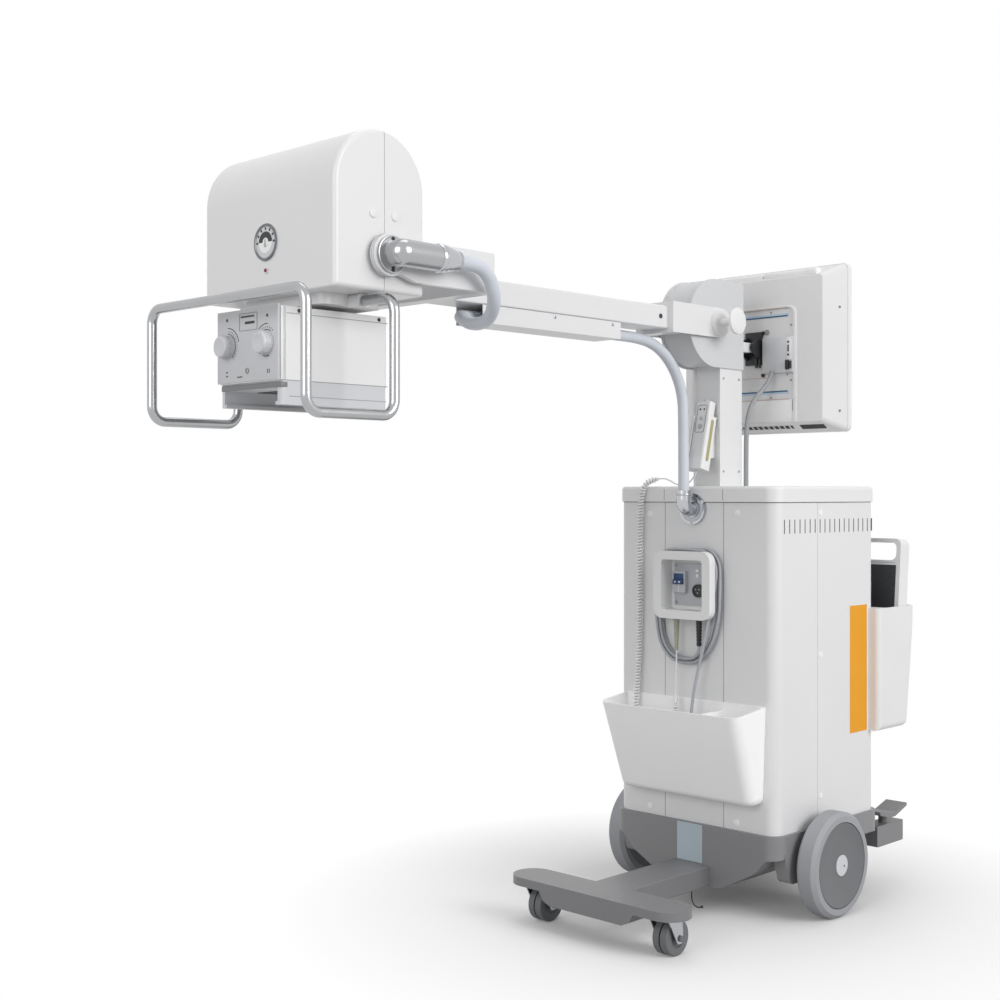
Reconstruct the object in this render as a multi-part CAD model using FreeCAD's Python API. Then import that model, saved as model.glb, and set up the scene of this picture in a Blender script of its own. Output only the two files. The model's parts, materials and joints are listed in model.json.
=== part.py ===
import FreeCAD, Part
import math
import os

from FreeCAD import Vector

# Mobile x-ray machine, in millimetres. X is to the right of someone who stands in front and
# faces the machine, Y runs from the x-ray head to the screen, and Z is up. The model is
# drawn with y = 0 at the cabinet's front face, and moved at the end so that the origin lies
# under the middle of its outline.

# Driving dimensions: cabinet and chassis
cabinet_half_width = 236.5
cabinet_depth = 448.5
cabinet_corner = 30.0
cover_wall = 3.0
cover_bottom = 207.0
cover_top = 987.0
cover_joint = 177.5
cover_joint_gap = 1.0
band_half_width = 88.0
band_groove = 1.6
vent_count = 19
vent_first = 34.5
vent_pitch = 22.03
vent_width = 4.0
vent_bottom = 912.0
vent_top = 946.0
lid_overhang = 4.0
lid_height = 38.0
lid_wall = 4.0
lid_edge = 8.0
pan_overhang = 10.0
pan_bottom = 62.0
pan_flat_half_width = 86.0
pan_shoulder_inset = 32.5
pan_slope_inset = 66.5
pan_side_bottom = 152.0
pan_side_edge = 6.0
axle_cheek_front = 45.0
axle_cheek_rear = 287.0
axle_cheek_width = 34.0
axle_cheek_bottom = 90.0
axle_cheek_top = 160.0
axle_cheek_slope = 25.0
axle_cheek_corner = 18.0
power_unit_side_gap = 81.5
power_unit_front = 150.0
power_unit_rear_gap = 38.5
power_unit_height = 190.0

# Rear wheels
wheel_radius = 125.0
wheel_rim_radius = 102.0
wheel_gap = 13.5
wheel_width = 51.6
wheel_y = 165.8
tyre_shoulder = 9.0
hub_dish = 2.0
hub_rim = 3.0
hub_cap_radius = 25.0
axle_radius = 10.0
running_gap = 0.05
axle_end_inset = 12.0

# Front outrigger and casters
stem_half_width = 54.0
stem_bottom = 62.0
stem_top = 111.0
stem_edge = 3.0
bar_y = -357.0
bar_overhang = 2.5
bar_half_width = 50.0
bar_plate = 20.0
keel_top_inset = 46.0
keel_step_inset = 58.0
keel_step_z = 71.0
keel_step_radius = 12.0
keel_bottom_inset = 79.0
caster_inset = 64.0
caster_trail = 24.0
caster_radius = 40.0
caster_half_width = 20.0
caster_edge = 3.0
caster_groove = 4.0
caster_groove_depth = 9.0
caster_dish_radius = 22.0
caster_dish = 4.0
caster_gap = 5.5
caster_leg = 3.0
caster_leg_foot = 11.0
caster_leg_front = 20.0
caster_leg_rear = 28.0
caster_nut_radius = 7.0
caster_nut = 4.0
caster_nut_gap = 0.3
swivel_plate = 4.0
swivel_plate_corner = 18.0
kingpin_radius = 6.0
kingpin_length = 12.0
caster_axle_radius = 5.0
swivel_gap = 0.3

# Column, pivot drum and arm
column_half_width = 40.0
column_front = 52.0
column_rear = 144.0
column_wall = 4.0
column_recess = 3.0
column_flange = 6.0
pivot_y = 28.0
pivot_z = 1421.5
drum_radius = 107.0
drum_plate = 5.0
drum_step = 4.0
drum_wall = 6.0
drum_rear_wall = 8.0
pivot_pin_radius = 12.0
fork_gap = 5.5
fork_cheek = 5.5
fork_front = -155.0
fork_cross_depth = 40.0
fork_half_height = 36.0
beam_half_width = 39.6
beam_bottom = 1394.0
beam_height = 53.0
beam_wall = 4.0
beam_corner = 4.0
beam_front = -890.0
beam_plug = 45.0
spindle_radius = 20.0
spindle_end_gap = 3.0
roll_gap = 11.0
tray_front = -767.0
tray_rear = -327.0
tray_depth = 38.0
tray_wall = 2.0
knob_back_radius = 33.5
knob_front_radius = 32.0
knob_back_thickness = 8.0
knob_stem_radius = 9.0
knob_stem_length = 40.0
knob_front_thickness = 8.0
knob_edge = 2.5

# Yoke, tube housing and handle
yoke_gap = 5.5
yoke_cheek = 13.0
yoke_cross_depth = 36.0
yoke_bottom = 1385.0
yoke_height = 75.0
yoke_corner = 12.0
yoke_cheek_overlap = 15.0
yoke_slope_length = 60.0
yoke_slope_rise = 18.0
yoke_slope_corner = 10.0
trunnion_y = -1167.5
trunnion_z = 1428.0
trunnion_radius = 15.0
trunnion_boss_radius = 38.0
trunnion_end_gap = 0.5
housing_half_width = 193.0
housing_front = -1281.0
housing_rear = -1072.0
housing_bottom = 1364.0
housing_height = 287.0
housing_wall = 12.0
housing_edge = 8.0
housing_foot_edge = 4.0
housing_seam = 1.0
dial_radius = 34.5
dial_z = 1461.0
dial_height = 2.0
lamp_radius = 6.0
lamp_z = 1410.0
port_half_width = 150.0
port_half_depth = 70.0
port_thickness = 20.0
port_corner = 18.0
handle_radius = 9.25
handle_x = 232.0
handle_rear_y = -1178.0
handle_front_y = -1373.0
handle_low_z = 1142.0
handle_high_z = 1351.0
handle_bend = 28.0
handle_boss_radius = 15.0
handle_boss_length = 30.0

# Collimator
collimator_y = -1195.0
collimator_half_width = 91.0
collimator_front = -1322.0
collimator_rear = -1069.0
collimator_top = 1336.0
collimator_gap = 5.5
collimator_step = 1205.0
collimator_bottom = 1163.0
collimator_corner = 10.0
spigot_radius = 30.0
spigot_top_gap = 2.0
collimator_neck_radius = 42.0
rail_plate = 12.0
rail_front_inset = 6.0
rail_rear_inset = 4.0
rail_corner = 6.0
rail_width = 12.0
rail_lip = 6.0
rail_lip_height = 6.0
dial_knob_radius = 21.0
dial_knob_length = 22.0
dial_knob_edge = 3.0
dial_knob_x = 58.0
dial_knob_z = 1272.0

# Screen
monitor_half_width = 248.0
monitor_bottom = 1161.0
monitor_top = 1577.0
monitor_rim_rear = 314.0
monitor_rim_front = 298.0
monitor_back_y = 258.0
monitor_back_half_width = 200.0
monitor_back_inset = 26.0
monitor_back_step = 2.0
monitor_back_corner = 12.0
monitor_recess_half_width = 150.0
monitor_recess_bottom = 1215.0
monitor_recess_top = 1500.0
monitor_recess_depth = 4.0
monitor_border = 20.0
monitor_corner = 14.0
screen_thickness = 6.0
tilt_y = 226.0
tilt_z = 1378.0
tilt_eye_radius = 12.0
tilt_eye_half_width = 12.0
tilt_ear_gap = 5.5
tilt_ear = 6.0
tilt_pin_radius = 5.0
tilt_plate = 6.0
tilt_plate_half_width = 30.0
tilt_plate_half_height = 35.0
hinge_plate = 6.0
hinge_plate_spare = 4.0
hinge_plate_half_height = 42.0
hinge_ear_half_height = 30.0
hinge_ear_tip = 10.0
hinge_ear_corner = 8.0
hinge_knob_radius = 11.0
hinge_knob_length = 14.0
video_box_left = 34.0
video_box_right = 117.0
video_box_bottom = 1314.0
video_box_top = 1395.0
video_box_depth = 12.0

# Bins, socket box and detector
bin_top_front = -118.0
bin_top_front_z = 492.0
bin_top_rear_z = 507.0
bin_bottom_front = -43.0
bin_bottom = 275.0
bin_half_width = 207.0
bin_taper = 7.0
bin_wall = 4.0
bin_partition_x = 86.0
bin_front_corner = 28.0
bin_low_corner = 22.0
bin_spare = 20.0
bin_partition = 3.0
bin_partition_drop = 4.0
holder_side_reach = 30.5
holder_ear_length = 33.5
holder_ear_corner = 14.0
holder_rear_corner = 10.0
holder_bottom_corner = 16.0
holder_inner_corner = 6.0
holder_bottom = 408.0
holder_top = 718.0
holder_bottom_reach = 100.5
holder_top_reach = 141.5
detector_side_gap = 7.0
detector_stand_off = 46.5
detector_thickness = 44.0
detector_lean = 5.0
detector_corner = 16.0
detector_top = 889.0
detector_grip_inset = 12.0
detector_grip_bottom = 833.0
detector_grip_top = 880.0
detector_rim = 11.0
detector_panel_top = 821.0
detector_recess = 2.0
socket_half_width = 84.5
socket_bottom = 704.0
socket_top = 867.5
socket_front = -52.0
socket_flange = 22.0
socket_corner = 25.0
socket_opening_half_width = 61.5
socket_opening_bottom = 725.0
socket_opening_top = 847.0
socket_neck_wall = 4.5
socket_back = 7.0
socket_neck_corner = 10.0
socket_opening_corner = 8.0
breaker_plate = 2.0
breaker_plate_inset = 9.0
breaker_left = -50.0
breaker_right = -11.0
breaker_bottom = 766.0
breaker_top = 818.0
breaker_depth = 12.0
toggle_inset = 6.0
toggle_bottom = 787.0
toggle_top = 797.0
toggle_depth = 6.0
inlet_x = 22.0
inlet_z = 771.7
inlet_radius = 15.0
inlet_depth = 6.0
panel_lamp_x = 19.0
panel_lamp_low_z = 808.0
panel_lamp_high_z = 820.0
panel_lamp_size = 4.0

# Hoses, cords and their fittings
hose_radius = 13.0
elbow_radius = 24.5
elbow_flange_radius = 32.0
elbow_flange = 5.0
ferrule_radius = 19.0
ferrule_front = -1080.0
ferrule_rear = -1035.0
gland_radius = 38.0
gland_thickness = 10.0
gland_z = 970.0
gland_elbow_radius = 17.5
gland_elbow_y = -41.5
gland_elbow_bend = 22.0
gland_top = 1015.0
mains_radius = 3.75
relief_radius = 8.0
relief_x = 34.5
relief_y = -26.0
relief_bottom = 648.0
relief_nose = 8.5
plug_x = 34.0
plug_y = -27.0
plug_top = 352.0
plug_radius = 17.0
plug_length = 56.0
boot_y = -33.0
boot_length = 18.0
coil_front = -27.0
coil_rear = -7.0
switch_plug_x = -30.2
switch_plug_y = -30.0
switch_plug_bottom = 625.5
curl_radius = 7.0
lead_radius = 1.75
cradle_x = 7.0
cradle_z = 1060.0
cradle_tilt = 14.0
cradle_wall = 5.0
cradle_height = 135.0
cradle_lip = 30.0
cradle_stand_off = 2.0
cradle_corner = 6.0
cradle_window_inset = 4.0
cradle_window_depth = 8.0
cradle_hole_radius = 5.0
wedge_half_width = 16.0
wedge_bottom = 34.0
wedge_top = 120.0
wedge_low_front = 8.0
wedge_high_front = 4.0
switch_half_width = 22.0
switch_thickness = 24.0
switch_length = 166.0
switch_gap = 0.5
switch_corner = 6.0
video_cable_radius = 6.0

# Brake, push handle and earth wire
brake_width = 46.5
brake_bottom = 104.0
brake_top = 157.0
brake_reach = 139.5
brake_corner = 3.0
pedal_half_width = 29.0
pedal_post_radius = 11.0
pedal_post_reach = 76.5
pedal_post_height = 18.0
pedal_thickness = 9.0
pedal_reach = 62.0
pedal_rise = 17.0
pedal_front_drop = 6.0
pedal_tip_corner = 3.0
pedal_middle = 14.0
pedal_sink = 2.0
pedal_bend = 12.0
push_bar_radius = 12.0
push_bar_half_width = 190.0
push_bar_reach = 71.5
push_bar_z = 1006.0
push_bar_bend = 40.0
earth_wire_radius = 1.5
earth_wire_x = 38.0
earth_wire_y = -60.0
earth_ball_radius = 3.5

# Sizes worked out from the ones above
pan_half_width = cabinet_half_width + pan_overhang
power_unit_half_width = cabinet_half_width - power_unit_side_gap
power_unit_rear = cabinet_depth - power_unit_rear_gap
wheel_inner = pan_half_width + wheel_gap
bar_half_length = pan_half_width + bar_overhang
caster_x = bar_half_length - caster_inset
keel_top_half_length = caster_x - keel_top_inset
keel_step_half_length = caster_x - keel_step_inset
keel_bottom_half_length = caster_x - keel_bottom_inset
wheel_outer = wheel_inner + wheel_width
housing_top = housing_bottom + housing_height
holder_half_width = cabinet_half_width + holder_side_reach
holder_ear_front = cabinet_depth - holder_ear_length
holder_bottom_rear = cabinet_depth + holder_bottom_reach
holder_top_rear = cabinet_depth + holder_top_reach
detector_half_width = holder_half_width - detector_side_gap
detector_front = cabinet_depth + detector_stand_off
detector_grip_half_width = detector_half_width - detector_grip_inset
brake_inner = cabinet_half_width - brake_width
brake_rear = cabinet_depth + brake_reach
pedal_post_y = cabinet_depth + pedal_post_reach
push_bar_y = cabinet_depth + push_bar_reach
lid_top = cover_top + lid_height
drum_half_width = column_half_width + drum_plate
fork_inner = drum_half_width + fork_gap
fork_outer = fork_inner + fork_cheek
beam_top = beam_bottom + beam_height
beam_z = beam_bottom + beam_height / 2
yoke_rear = beam_front - roll_gap
yoke_front = yoke_rear - yoke_cross_depth
yoke_top = yoke_bottom + yoke_height
yoke_inner = housing_half_width + yoke_gap
yoke_half_width = yoke_inner + yoke_cheek
elbow_x = yoke_half_width + elbow_flange + elbow_radius
tray_floor = beam_bottom - tray_depth
hose_z = tray_floor + tray_wall + hose_radius
wheel_z = wheel_radius
caster_y = bar_y + caster_trail
caster_leg_outer = caster_half_width + caster_gap + caster_leg
caster_sweep = math.hypot(caster_leg_outer, caster_trail + caster_leg_foot)
cradle_foot = (column_front - cradle_stand_off
               - cradle_height * math.sin(math.radians(cradle_tilt)))
bar_plate_bottom = stem_top - bar_plate
collimator_seat = housing_bottom - port_thickness
pedal_rear = pedal_post_y + pedal_reach + pedal_post_radius
outline_front = handle_front_y - handle_radius
outline_rear = pedal_rear
origin_y = (outline_front + outline_rear) / 2

# Hand-picked outlines of the pan's underside and the mains cord's coil, as (x, z, corner radius)
pan_underside = [(pan_half_width - pan_shoulder_inset, 149, 20),
                 (pan_half_width - pan_slope_inset, 113, 60),
                 (pan_flat_half_width, pan_bottom, 30)]
coil_outside = [(-104, 872, 40), (86, 872, 40), (86, 690, 60), (30, 594, 40), (-58, 594, 40),
                (-108, 690, 60)]
coil_inside = [(-88, 856, 24), (70, 856, 24), (70, 696, 60), (22, 610, 26), (-50, 610, 26),
               (-92, 696, 60)]

# Hand-picked routes, as points along each centre line
earth_wire_route = [
    (earth_wire_x, earth_wire_y, stem_bottom), (earth_wire_x, earth_wire_y, 52),
    (earth_wire_x, earth_wire_y, 36), (46, earth_wire_y, 24), (58, earth_wire_y, 21),
    (68, earth_wire_y, 25)]
hose_loop_route = [
    (elbow_x, ferrule_rear, trunnion_z), (elbow_x, -1004, trunnion_z), (elbow_x, -972, 1424),
    (elbow_x - 2, -946, 1404), (elbow_x - 10, -928, 1374), (elbow_x - 37, -905, 1351),
    (elbow_x - 79, -879, 1340),
    (113, -852, 1340), (64, -830, 1347), (26, -813, 1361), (0, -796, hose_z),
    (0, tray_front, hose_z)]
hose_drop_route = [
    (0, tray_rear, hose_z), (0, -272, hose_z), (0, -222, 1370), (0, -170, 1364), (0, -124, 1345),
    (0, -88, 1316), (0, -62, 1281), (0, -47, 1243), (0, gland_elbow_y, 1200),
    (0, gland_elbow_y, gland_top)]
video_cable_route = [
    (62, 244, video_box_bottom), (62, 236, 1296), (59, 216, 1274), (54, 190, 1252),
    (50, 168, 1226), (47, 158, 1192), (46, 154.5, 1150), (46, 153.5, 1090), (46, 153.5, lid_top)]
mains_tail_route = [
    (62, -31, 699), (55, -31.5, 655), (43, -34, 602), (32, -38, 550), (25, -42, 498),
    (23, -43, 450), (28, -38, 408), (plug_x, plug_y, 376), (plug_x, plug_y, plug_top)]
curl_route = [
    (switch_plug_x, boot_y, 497), (switch_plug_x, boot_y, 460), (-44, -44, 420), (-68, -52, 388),
    (-98, -52, 376), (-127, -45, 388), (-149, -33, 420), (-161, -23, 460), (-165, -17, 505),
    (-163, -14, 560), (-160, -13, 625), (-158, -13, 700), (-158, -13, 780), (-158, -13, 860),
    (-157, -13, 930), (-154, -13.5, 985), (-148, -13, 1020), (-134, -7, 1041), (-110, 3, 1044)]
switch_lead_route = [
    (-110, 3, 1044), (-98, 8, 1045.5), (-82, 11, 1040), (-66, 12, 1031), (-48, 11, 1028),
    (-30, 8, 1030), (-14, 5, 1037), (-2, 1.5, 1047), (cradle_x, 0, 1058)]
plug_lead_route = [
    (switch_plug_x, switch_plug_y, switch_plug_bottom), (switch_plug_x, switch_plug_y, 585),
    (switch_plug_x, boot_y, 550), (switch_plug_x, boot_y, 515)]


def block(x, y, z):
    """A box from its (low, high) pairs along X, Y and Z."""
    return Part.makeBox(x[1] - x[0], y[1] - y[0], z[1] - z[0], Vector(x[0], y[0], z[0]))


def rod(axis, start, end, centre, radius):
    """A cylinder along X, Y or Z, with the centre's other two coordinates in X, Y, Z order."""
    first, second = centre
    base = {"X": Vector(start, first, second),
            "Y": Vector(first, start, second),
            "Z": Vector(first, second, start)}[axis]
    way = {"X": Vector(1, 0, 0), "Y": Vector(0, 1, 0), "Z": Vector(0, 0, 1)}[axis]
    return Part.makeCylinder(radius, end - start, base, way)


def place(axis, first, second, along):
    """A point from two coordinates in the plane across an axis and one along it."""
    return {"X": Vector(along, first, second),
            "Y": Vector(first, along, second),
            "Z": Vector(first, second, along)}[axis]


def outline(corners, axis, along):
    """A closed wire through (first, second, radius) corners, each rounded by its radius."""
    points = [place(axis, corner[0], corner[1], along) for corner in corners]
    radii = [corner[2] for corner in corners]
    edges = []
    previous = None
    first_start = None
    for index, corner in enumerate(points):
        before = points[index - 1]
        after = points[(index + 1) % len(points)]
        start, middle, end = corner_arc(before, corner, after, radii[index])
        if previous is not None and previous.distanceToPoint(start) > 1e-6:
            edges.append(Part.makeLine(previous, start))
        if first_start is None:
            first_start = start
        if middle is not None:
            edges.append(Part.Arc(start, middle, end).toShape())
        previous = end
    if previous.distanceToPoint(first_start) > 1e-6:
        edges.append(Part.makeLine(previous, first_start))
    return Part.Wire(edges)


def corner_arc(before, corner, after, radius):
    """Start, middle and end of the arc that rounds a corner between two straight runs."""
    if radius <= 0:
        return corner, None, corner
    inward = before.sub(corner).normalize()
    outward = after.sub(corner).normalize()
    half = inward.getAngle(outward) / 2
    reach = radius / math.tan(half)
    start = corner + inward * reach
    end = corner + outward * reach
    middle_way = (inward + outward).normalize()
    middle = corner + middle_way * (radius / math.sin(half) - radius)
    return start, middle, end


def prism(corners, axis, low, high):
    """An outline extruded along an axis from low to high."""
    face = Part.Face(outline(corners, axis, low))
    return face.extrude(place(axis, 0, 0, high - low))


def round_block(x, y, z, radius, axis="Z"):
    """A box whose four edges along one axis are rounded."""
    across = {"X": (y, z, x), "Y": (x, z, y), "Z": (x, y, z)}[axis]
    first, second, along = across
    corners = [(first[0], second[0], radius), (first[1], second[0], radius),
               (first[1], second[1], radius), (first[0], second[1], radius)]
    return prism(corners, axis, along[0], along[1])


def symmetric(corners):
    """A closed outline from its right half: the corners, then their mirror in x = 0."""
    return corners + [(-first, second, radius) for first, second, radius in reversed(corners)]


def cord_bends(points):
    """Bend radii for a cord: 0.45 of the shorter run over the tangent of half the turn."""
    radii = []
    for before, corner, after in zip(points, points[1:], points[2:]):
        incoming = corner.sub(before)
        outgoing = after.sub(corner)
        half_turn = incoming.getAngle(outgoing) / 2
        shorter = min(incoming.Length, outgoing.Length)
        radii.append(0.45 * shorter / math.tan(half_turn) if half_turn > 1e-4 else 0.0)
    return radii


def bent_path(points, radii):
    """A wire of straight runs joined by tangent arcs, and its length."""
    edges = []
    previous = points[0]
    for index, radius in enumerate(radii):
        start, middle, end = corner_arc(points[index], points[index + 1], points[index + 2], radius)
        if previous.distanceToPoint(start) > 1e-6:
            edges.append(Part.makeLine(previous, start))
        if middle is not None:
            edges.append(Part.Arc(start, middle, end).toShape())
        previous = end
    edges.append(Part.makeLine(previous, points[-1]))
    return Part.Wire(edges)


def bent_tube(points, radius, bends):
    """A round bar along straight runs with the given bend radii."""
    points = [Vector(*point) for point in points]
    path = bent_path(points, bends)
    way = points[1].sub(points[0])
    section = Part.Wire(Part.makeCircle(radius, points[0], way))
    return path.makePipeShell([section], True, False)


def cord(name, route, radius):
    """A cord's tube with arcs as large as its runs allow, and a printed check of its volume."""
    points = [Vector(*point) for point in route]
    bends = cord_bends(points)
    tube = bent_tube(route, radius, bends)
    expected = math.pi * radius ** 2 * bent_path(points, bends).Length
    print(name, "bend radii", [round(bend) for bend in bends],
          "volume ratio", round(tube.Volume / expected, 4))
    return tube


def mirrored(shape):
    """The shape's mirror image in x = 0."""
    return shape.mirror(Vector(0, 0, 0), Vector(1, 0, 0))


def chassis_pan():
    half = pan_half_width
    front = -pan_overhang
    rear = cabinet_depth + pan_overhang
    section = symmetric([(half, cover_bottom, 0), (half, pan_side_bottom, pan_side_edge)]
                        + pan_underside)
    body = prism(section, "Y", front, rear)
    plan = round_block((-half, half), (front, rear), (0, cover_bottom),
                       cabinet_corner + pan_overhang)
    body = body.common(plan)
    cheek = prism([
        (axle_cheek_front - axle_cheek_slope, axle_cheek_top, 0),
        (axle_cheek_front, axle_cheek_bottom, axle_cheek_corner),
        (axle_cheek_rear, axle_cheek_bottom, axle_cheek_corner),
        (axle_cheek_rear + axle_cheek_slope, axle_cheek_top, 0)],
        "X", half - axle_cheek_width, half)
    body = body.fuse([cheek, mirrored(cheek)])
    axle = rod("X", -half, half, (wheel_y, wheel_z), axle_radius)
    return body.cut(axle)


def outrigger():
    front = bar_y - bar_half_width
    rear = bar_y + bar_half_width
    stem = round_block((-stem_half_width, stem_half_width), (bar_y, -pan_overhang),
                       (stem_bottom, stem_top), stem_edge, "Y")
    plate = round_block((-bar_half_length, bar_half_length), (front, rear),
                        (bar_plate_bottom, stem_top), bar_half_width - 0.01)
    keel = prism(symmetric([(keel_top_half_length, bar_plate_bottom, 0),
                            (keel_step_half_length, keel_step_z, keel_step_radius),
                            (keel_bottom_half_length, stem_bottom, 0)]), "Y", front, rear)
    body = plate.fuse([stem, keel])
    top = bar_plate_bottom + kingpin_length + 1
    holes = [rod("Z", bar_plate_bottom, top, (side * caster_x, bar_y),
                 kingpin_radius + running_gap) for side in (-1, 1)]
    return body.cut(holes)


def caster_fork(x):
    """A swivel plate with its kingpin, and a leg outside each wheel of the pair."""
    top = bar_plate_bottom - swivel_gap
    under = top - swivel_plate
    axle = (caster_y, caster_radius)
    plate = round_block((x - caster_leg_outer, x + caster_leg_outer),
                        (bar_y - caster_leg_rear, bar_y + caster_leg_rear), (under, top),
                        swivel_plate_corner)
    pin = rod("Z", under, bar_plate_bottom + kingpin_length, (x, bar_y), kingpin_radius)
    legs = []
    for side in (-1, 1):
        low, high = sorted((x + side * (caster_half_width + caster_gap),
                            x + side * caster_leg_outer))
        legs.append(prism([
            (bar_y - caster_leg_front, top, 0),
            (caster_y - caster_leg_foot, caster_radius - caster_leg_foot, caster_leg_foot - 1),
            (caster_y + caster_leg_foot, caster_radius - caster_leg_foot, caster_leg_foot - 1),
            (bar_y + caster_leg_rear, top, 0)], "X", low, high))
    legs = [leg.common(rod("Z", 0, top, (x, bar_y), caster_sweep)) for leg in legs]
    bore = rod("X", x - caster_leg_outer, x + caster_leg_outer, axle,
               caster_axle_radius + running_gap)
    return plate.fuse([pin] + legs).cut(bore)


def caster_wheels(x):
    """A pair of wheels with a groove between them, and the axle with a cap at each end."""
    line = (caster_y, caster_radius)
    left, right = x - caster_half_width, x + caster_half_width
    wheels = rod("X", left, right, line, caster_radius)
    wheels = wheels.makeFillet(caster_edge, round_edges(wheels, caster_radius))
    ring = rod("X", x - caster_groove / 2, x + caster_groove / 2, line, caster_radius)
    groove = ring.cut(rod("X", left, right, line, caster_radius - caster_groove_depth))
    dishes = [rod("X", low, low + caster_dish, line, caster_dish_radius)
              for low in (left, right - caster_dish)]
    reach = caster_leg_outer + caster_nut_gap
    axle = rod("X", x - reach, x + reach, line, caster_axle_radius)
    nuts = [rod("X", low, low + caster_nut, line, caster_nut_radius)
            for low in (x - reach - caster_nut, x + reach)]
    return wheels.cut([groove] + dishes).fuse([axle] + nuts)


def round_edges(shape, radius):
    """The shape's full circular edges of one radius."""
    return [edge for edge in shape.Edges
            if isinstance(edge.Curve, Part.Circle) and abs(edge.Curve.Radius - radius) < 1e-6]


def rear_axle():
    reach = wheel_outer - axle_end_inset
    return rod("X", -reach, reach, (wheel_y, wheel_z), axle_radius)


def tyre(side):
    low, high = sorted((side * wheel_inner, side * wheel_outer))
    line = (wheel_y, wheel_z)
    ring = rod("X", low, high, line, wheel_radius)
    ring = ring.makeChamfer(tyre_shoulder, round_edges(ring, wheel_radius))
    return ring.cut(rod("X", low, high, line, wheel_rim_radius))


def hub(side):
    low, high = sorted((side * wheel_inner, side * wheel_outer))
    line = (wheel_y, wheel_z)
    disc = rod("X", low, high, line, wheel_rim_radius)
    dish_low, dish_high = sorted((side * (wheel_outer - hub_dish), side * wheel_outer))
    disc = disc.cut(rod("X", dish_low, dish_high, line, wheel_rim_radius - hub_rim))
    cap = rod("X", dish_low, dish_high, line, hub_cap_radius)
    bore_low, bore_high = sorted((side * wheel_inner, side * (wheel_outer - axle_end_inset + 1)))
    bore = rod("X", bore_low, bore_high, line, axle_radius + running_gap)
    return disc.fuse(cap).cut(bore)


def cabinet_shell():
    half = cabinet_half_width
    outer = round_block((-half, half), (0, cabinet_depth), (cover_bottom, cover_top),
                        cabinet_corner)
    inner = round_block((cover_wall - half, half - cover_wall),
                        (cover_wall, cabinet_depth - cover_wall), (cover_bottom, cover_top),
                        cabinet_corner - cover_wall)
    shell = outer.cut(inner)
    slots = []
    for index in range(vent_count):
        start = vent_first + index * vent_pitch - vent_width / 2
        slots.append(round_block((-half, half), (start, start + vent_width),
                                 (vent_bottom, vent_top), vent_width / 2 - 0.01, "X"))
    return shell.cut(slots)


def cabinet_front(shell):
    half = cabinet_half_width
    zone = block((-half, half), (0, cover_joint - cover_joint_gap / 2), (cover_bottom, cover_top))
    front = shell.common(zone)
    grooves = [block((side * band_half_width - band_groove / 2,
                      side * band_half_width + band_groove / 2),
                     (0, band_groove / 2), (cover_bottom, cover_top)) for side in (-1, 1)]
    return front.cut(grooves)


def cabinet_rear(shell):
    half = cabinet_half_width
    zone = block((-half, half), (cover_joint + cover_joint_gap / 2, cabinet_depth),
                 (cover_bottom, cover_top))
    return shell.common(zone)


def lid():
    half = cabinet_half_width + lid_overhang
    outer = round_block((-half, half), (-lid_overhang, cabinet_depth + lid_overhang),
                        (cover_top, lid_top), cabinet_corner + lid_overhang)
    top_edges = [edge for edge in outer.Edges
                 if all(abs(vertex.Z - lid_top) < 1e-6 for vertex in edge.Vertexes)]
    outer = outer.makeFillet(lid_edge, top_edges)
    inner = round_block((lid_wall + lid_overhang - half, half - lid_wall - lid_overhang),
                        (lid_wall, cabinet_depth - lid_wall), (cover_top, lid_top - lid_wall),
                        cabinet_corner - lid_wall)
    body = outer.cut(inner)
    return body.cut(rod("Y", -lid_overhang, 0, (0, gland_z), gland_radius))


def power_unit():
    return block((-power_unit_half_width, power_unit_half_width),
                 (power_unit_front, power_unit_rear),
                 (cover_bottom, cover_bottom + power_unit_height))


def column():
    half = column_half_width
    top = pivot_z - drum_radius + drum_step
    outer = block((-half, half), (column_front, column_rear), (lid_top, top))
    inner = block((column_wall - half, half - column_wall),
                  (column_front + column_wall + column_recess, column_rear - column_wall),
                  (lid_top, top))
    recess = block((column_flange - half, half - column_flange),
                   (column_front, column_front + column_recess), (lid_top, top))
    return outer.cut([inner, recess])


def drum_outline(radius, rear):
    """The drum's side view: a half circle to the front and square corners to the rear."""
    return [(rear, pivot_z - radius, 0), (pivot_y - radius, pivot_z - radius, radius - 0.01),
            (pivot_y - radius, pivot_z + radius, radius - 0.01), (rear, pivot_z + radius, 0)]


def pivot_drum():
    half = column_half_width
    core_radius = drum_radius - drum_step
    core = prism(drum_outline(core_radius, column_rear), "X", -half, half)
    cavity = prism(drum_outline(core_radius - drum_wall, column_rear - drum_rear_wall), "X",
                   column_wall - half, half - column_wall)
    drop = block((column_wall - half, half - column_wall),
                 (column_front + column_wall + column_recess, column_rear - drum_rear_wall),
                 (pivot_z - drum_radius, pivot_z - core_radius / 2))
    core = core.cut([cavity, drop])
    plates = [prism(drum_outline(drum_radius, column_rear), "X", low, low + drum_plate)
              for low in (-drum_half_width, column_half_width)]
    pin = rod("X", -fork_outer, fork_outer, (pivot_y, pivot_z), pivot_pin_radius)
    return core.fuse(plates + [pin])


def arm_fork():
    rear = pivot_y
    side_view = [(fork_front, pivot_z - fork_half_height, 0),
                 (rear + fork_half_height, pivot_z - fork_half_height, fork_half_height - 0.01),
                 (rear + fork_half_height, pivot_z + fork_half_height, fork_half_height - 0.01),
                 (fork_front, pivot_z + fork_half_height, 0)]
    body = prism(side_view, "X", -fork_outer, fork_outer)
    over = fork_half_height + 1
    gap = block((-fork_inner, fork_inner), (fork_front + fork_cross_depth, rear + over),
                (pivot_z - over, pivot_z + over))
    bore = rod("X", -fork_outer, fork_outer, (pivot_y, pivot_z), pivot_pin_radius + running_gap)
    return body.cut([gap, bore])


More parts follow.
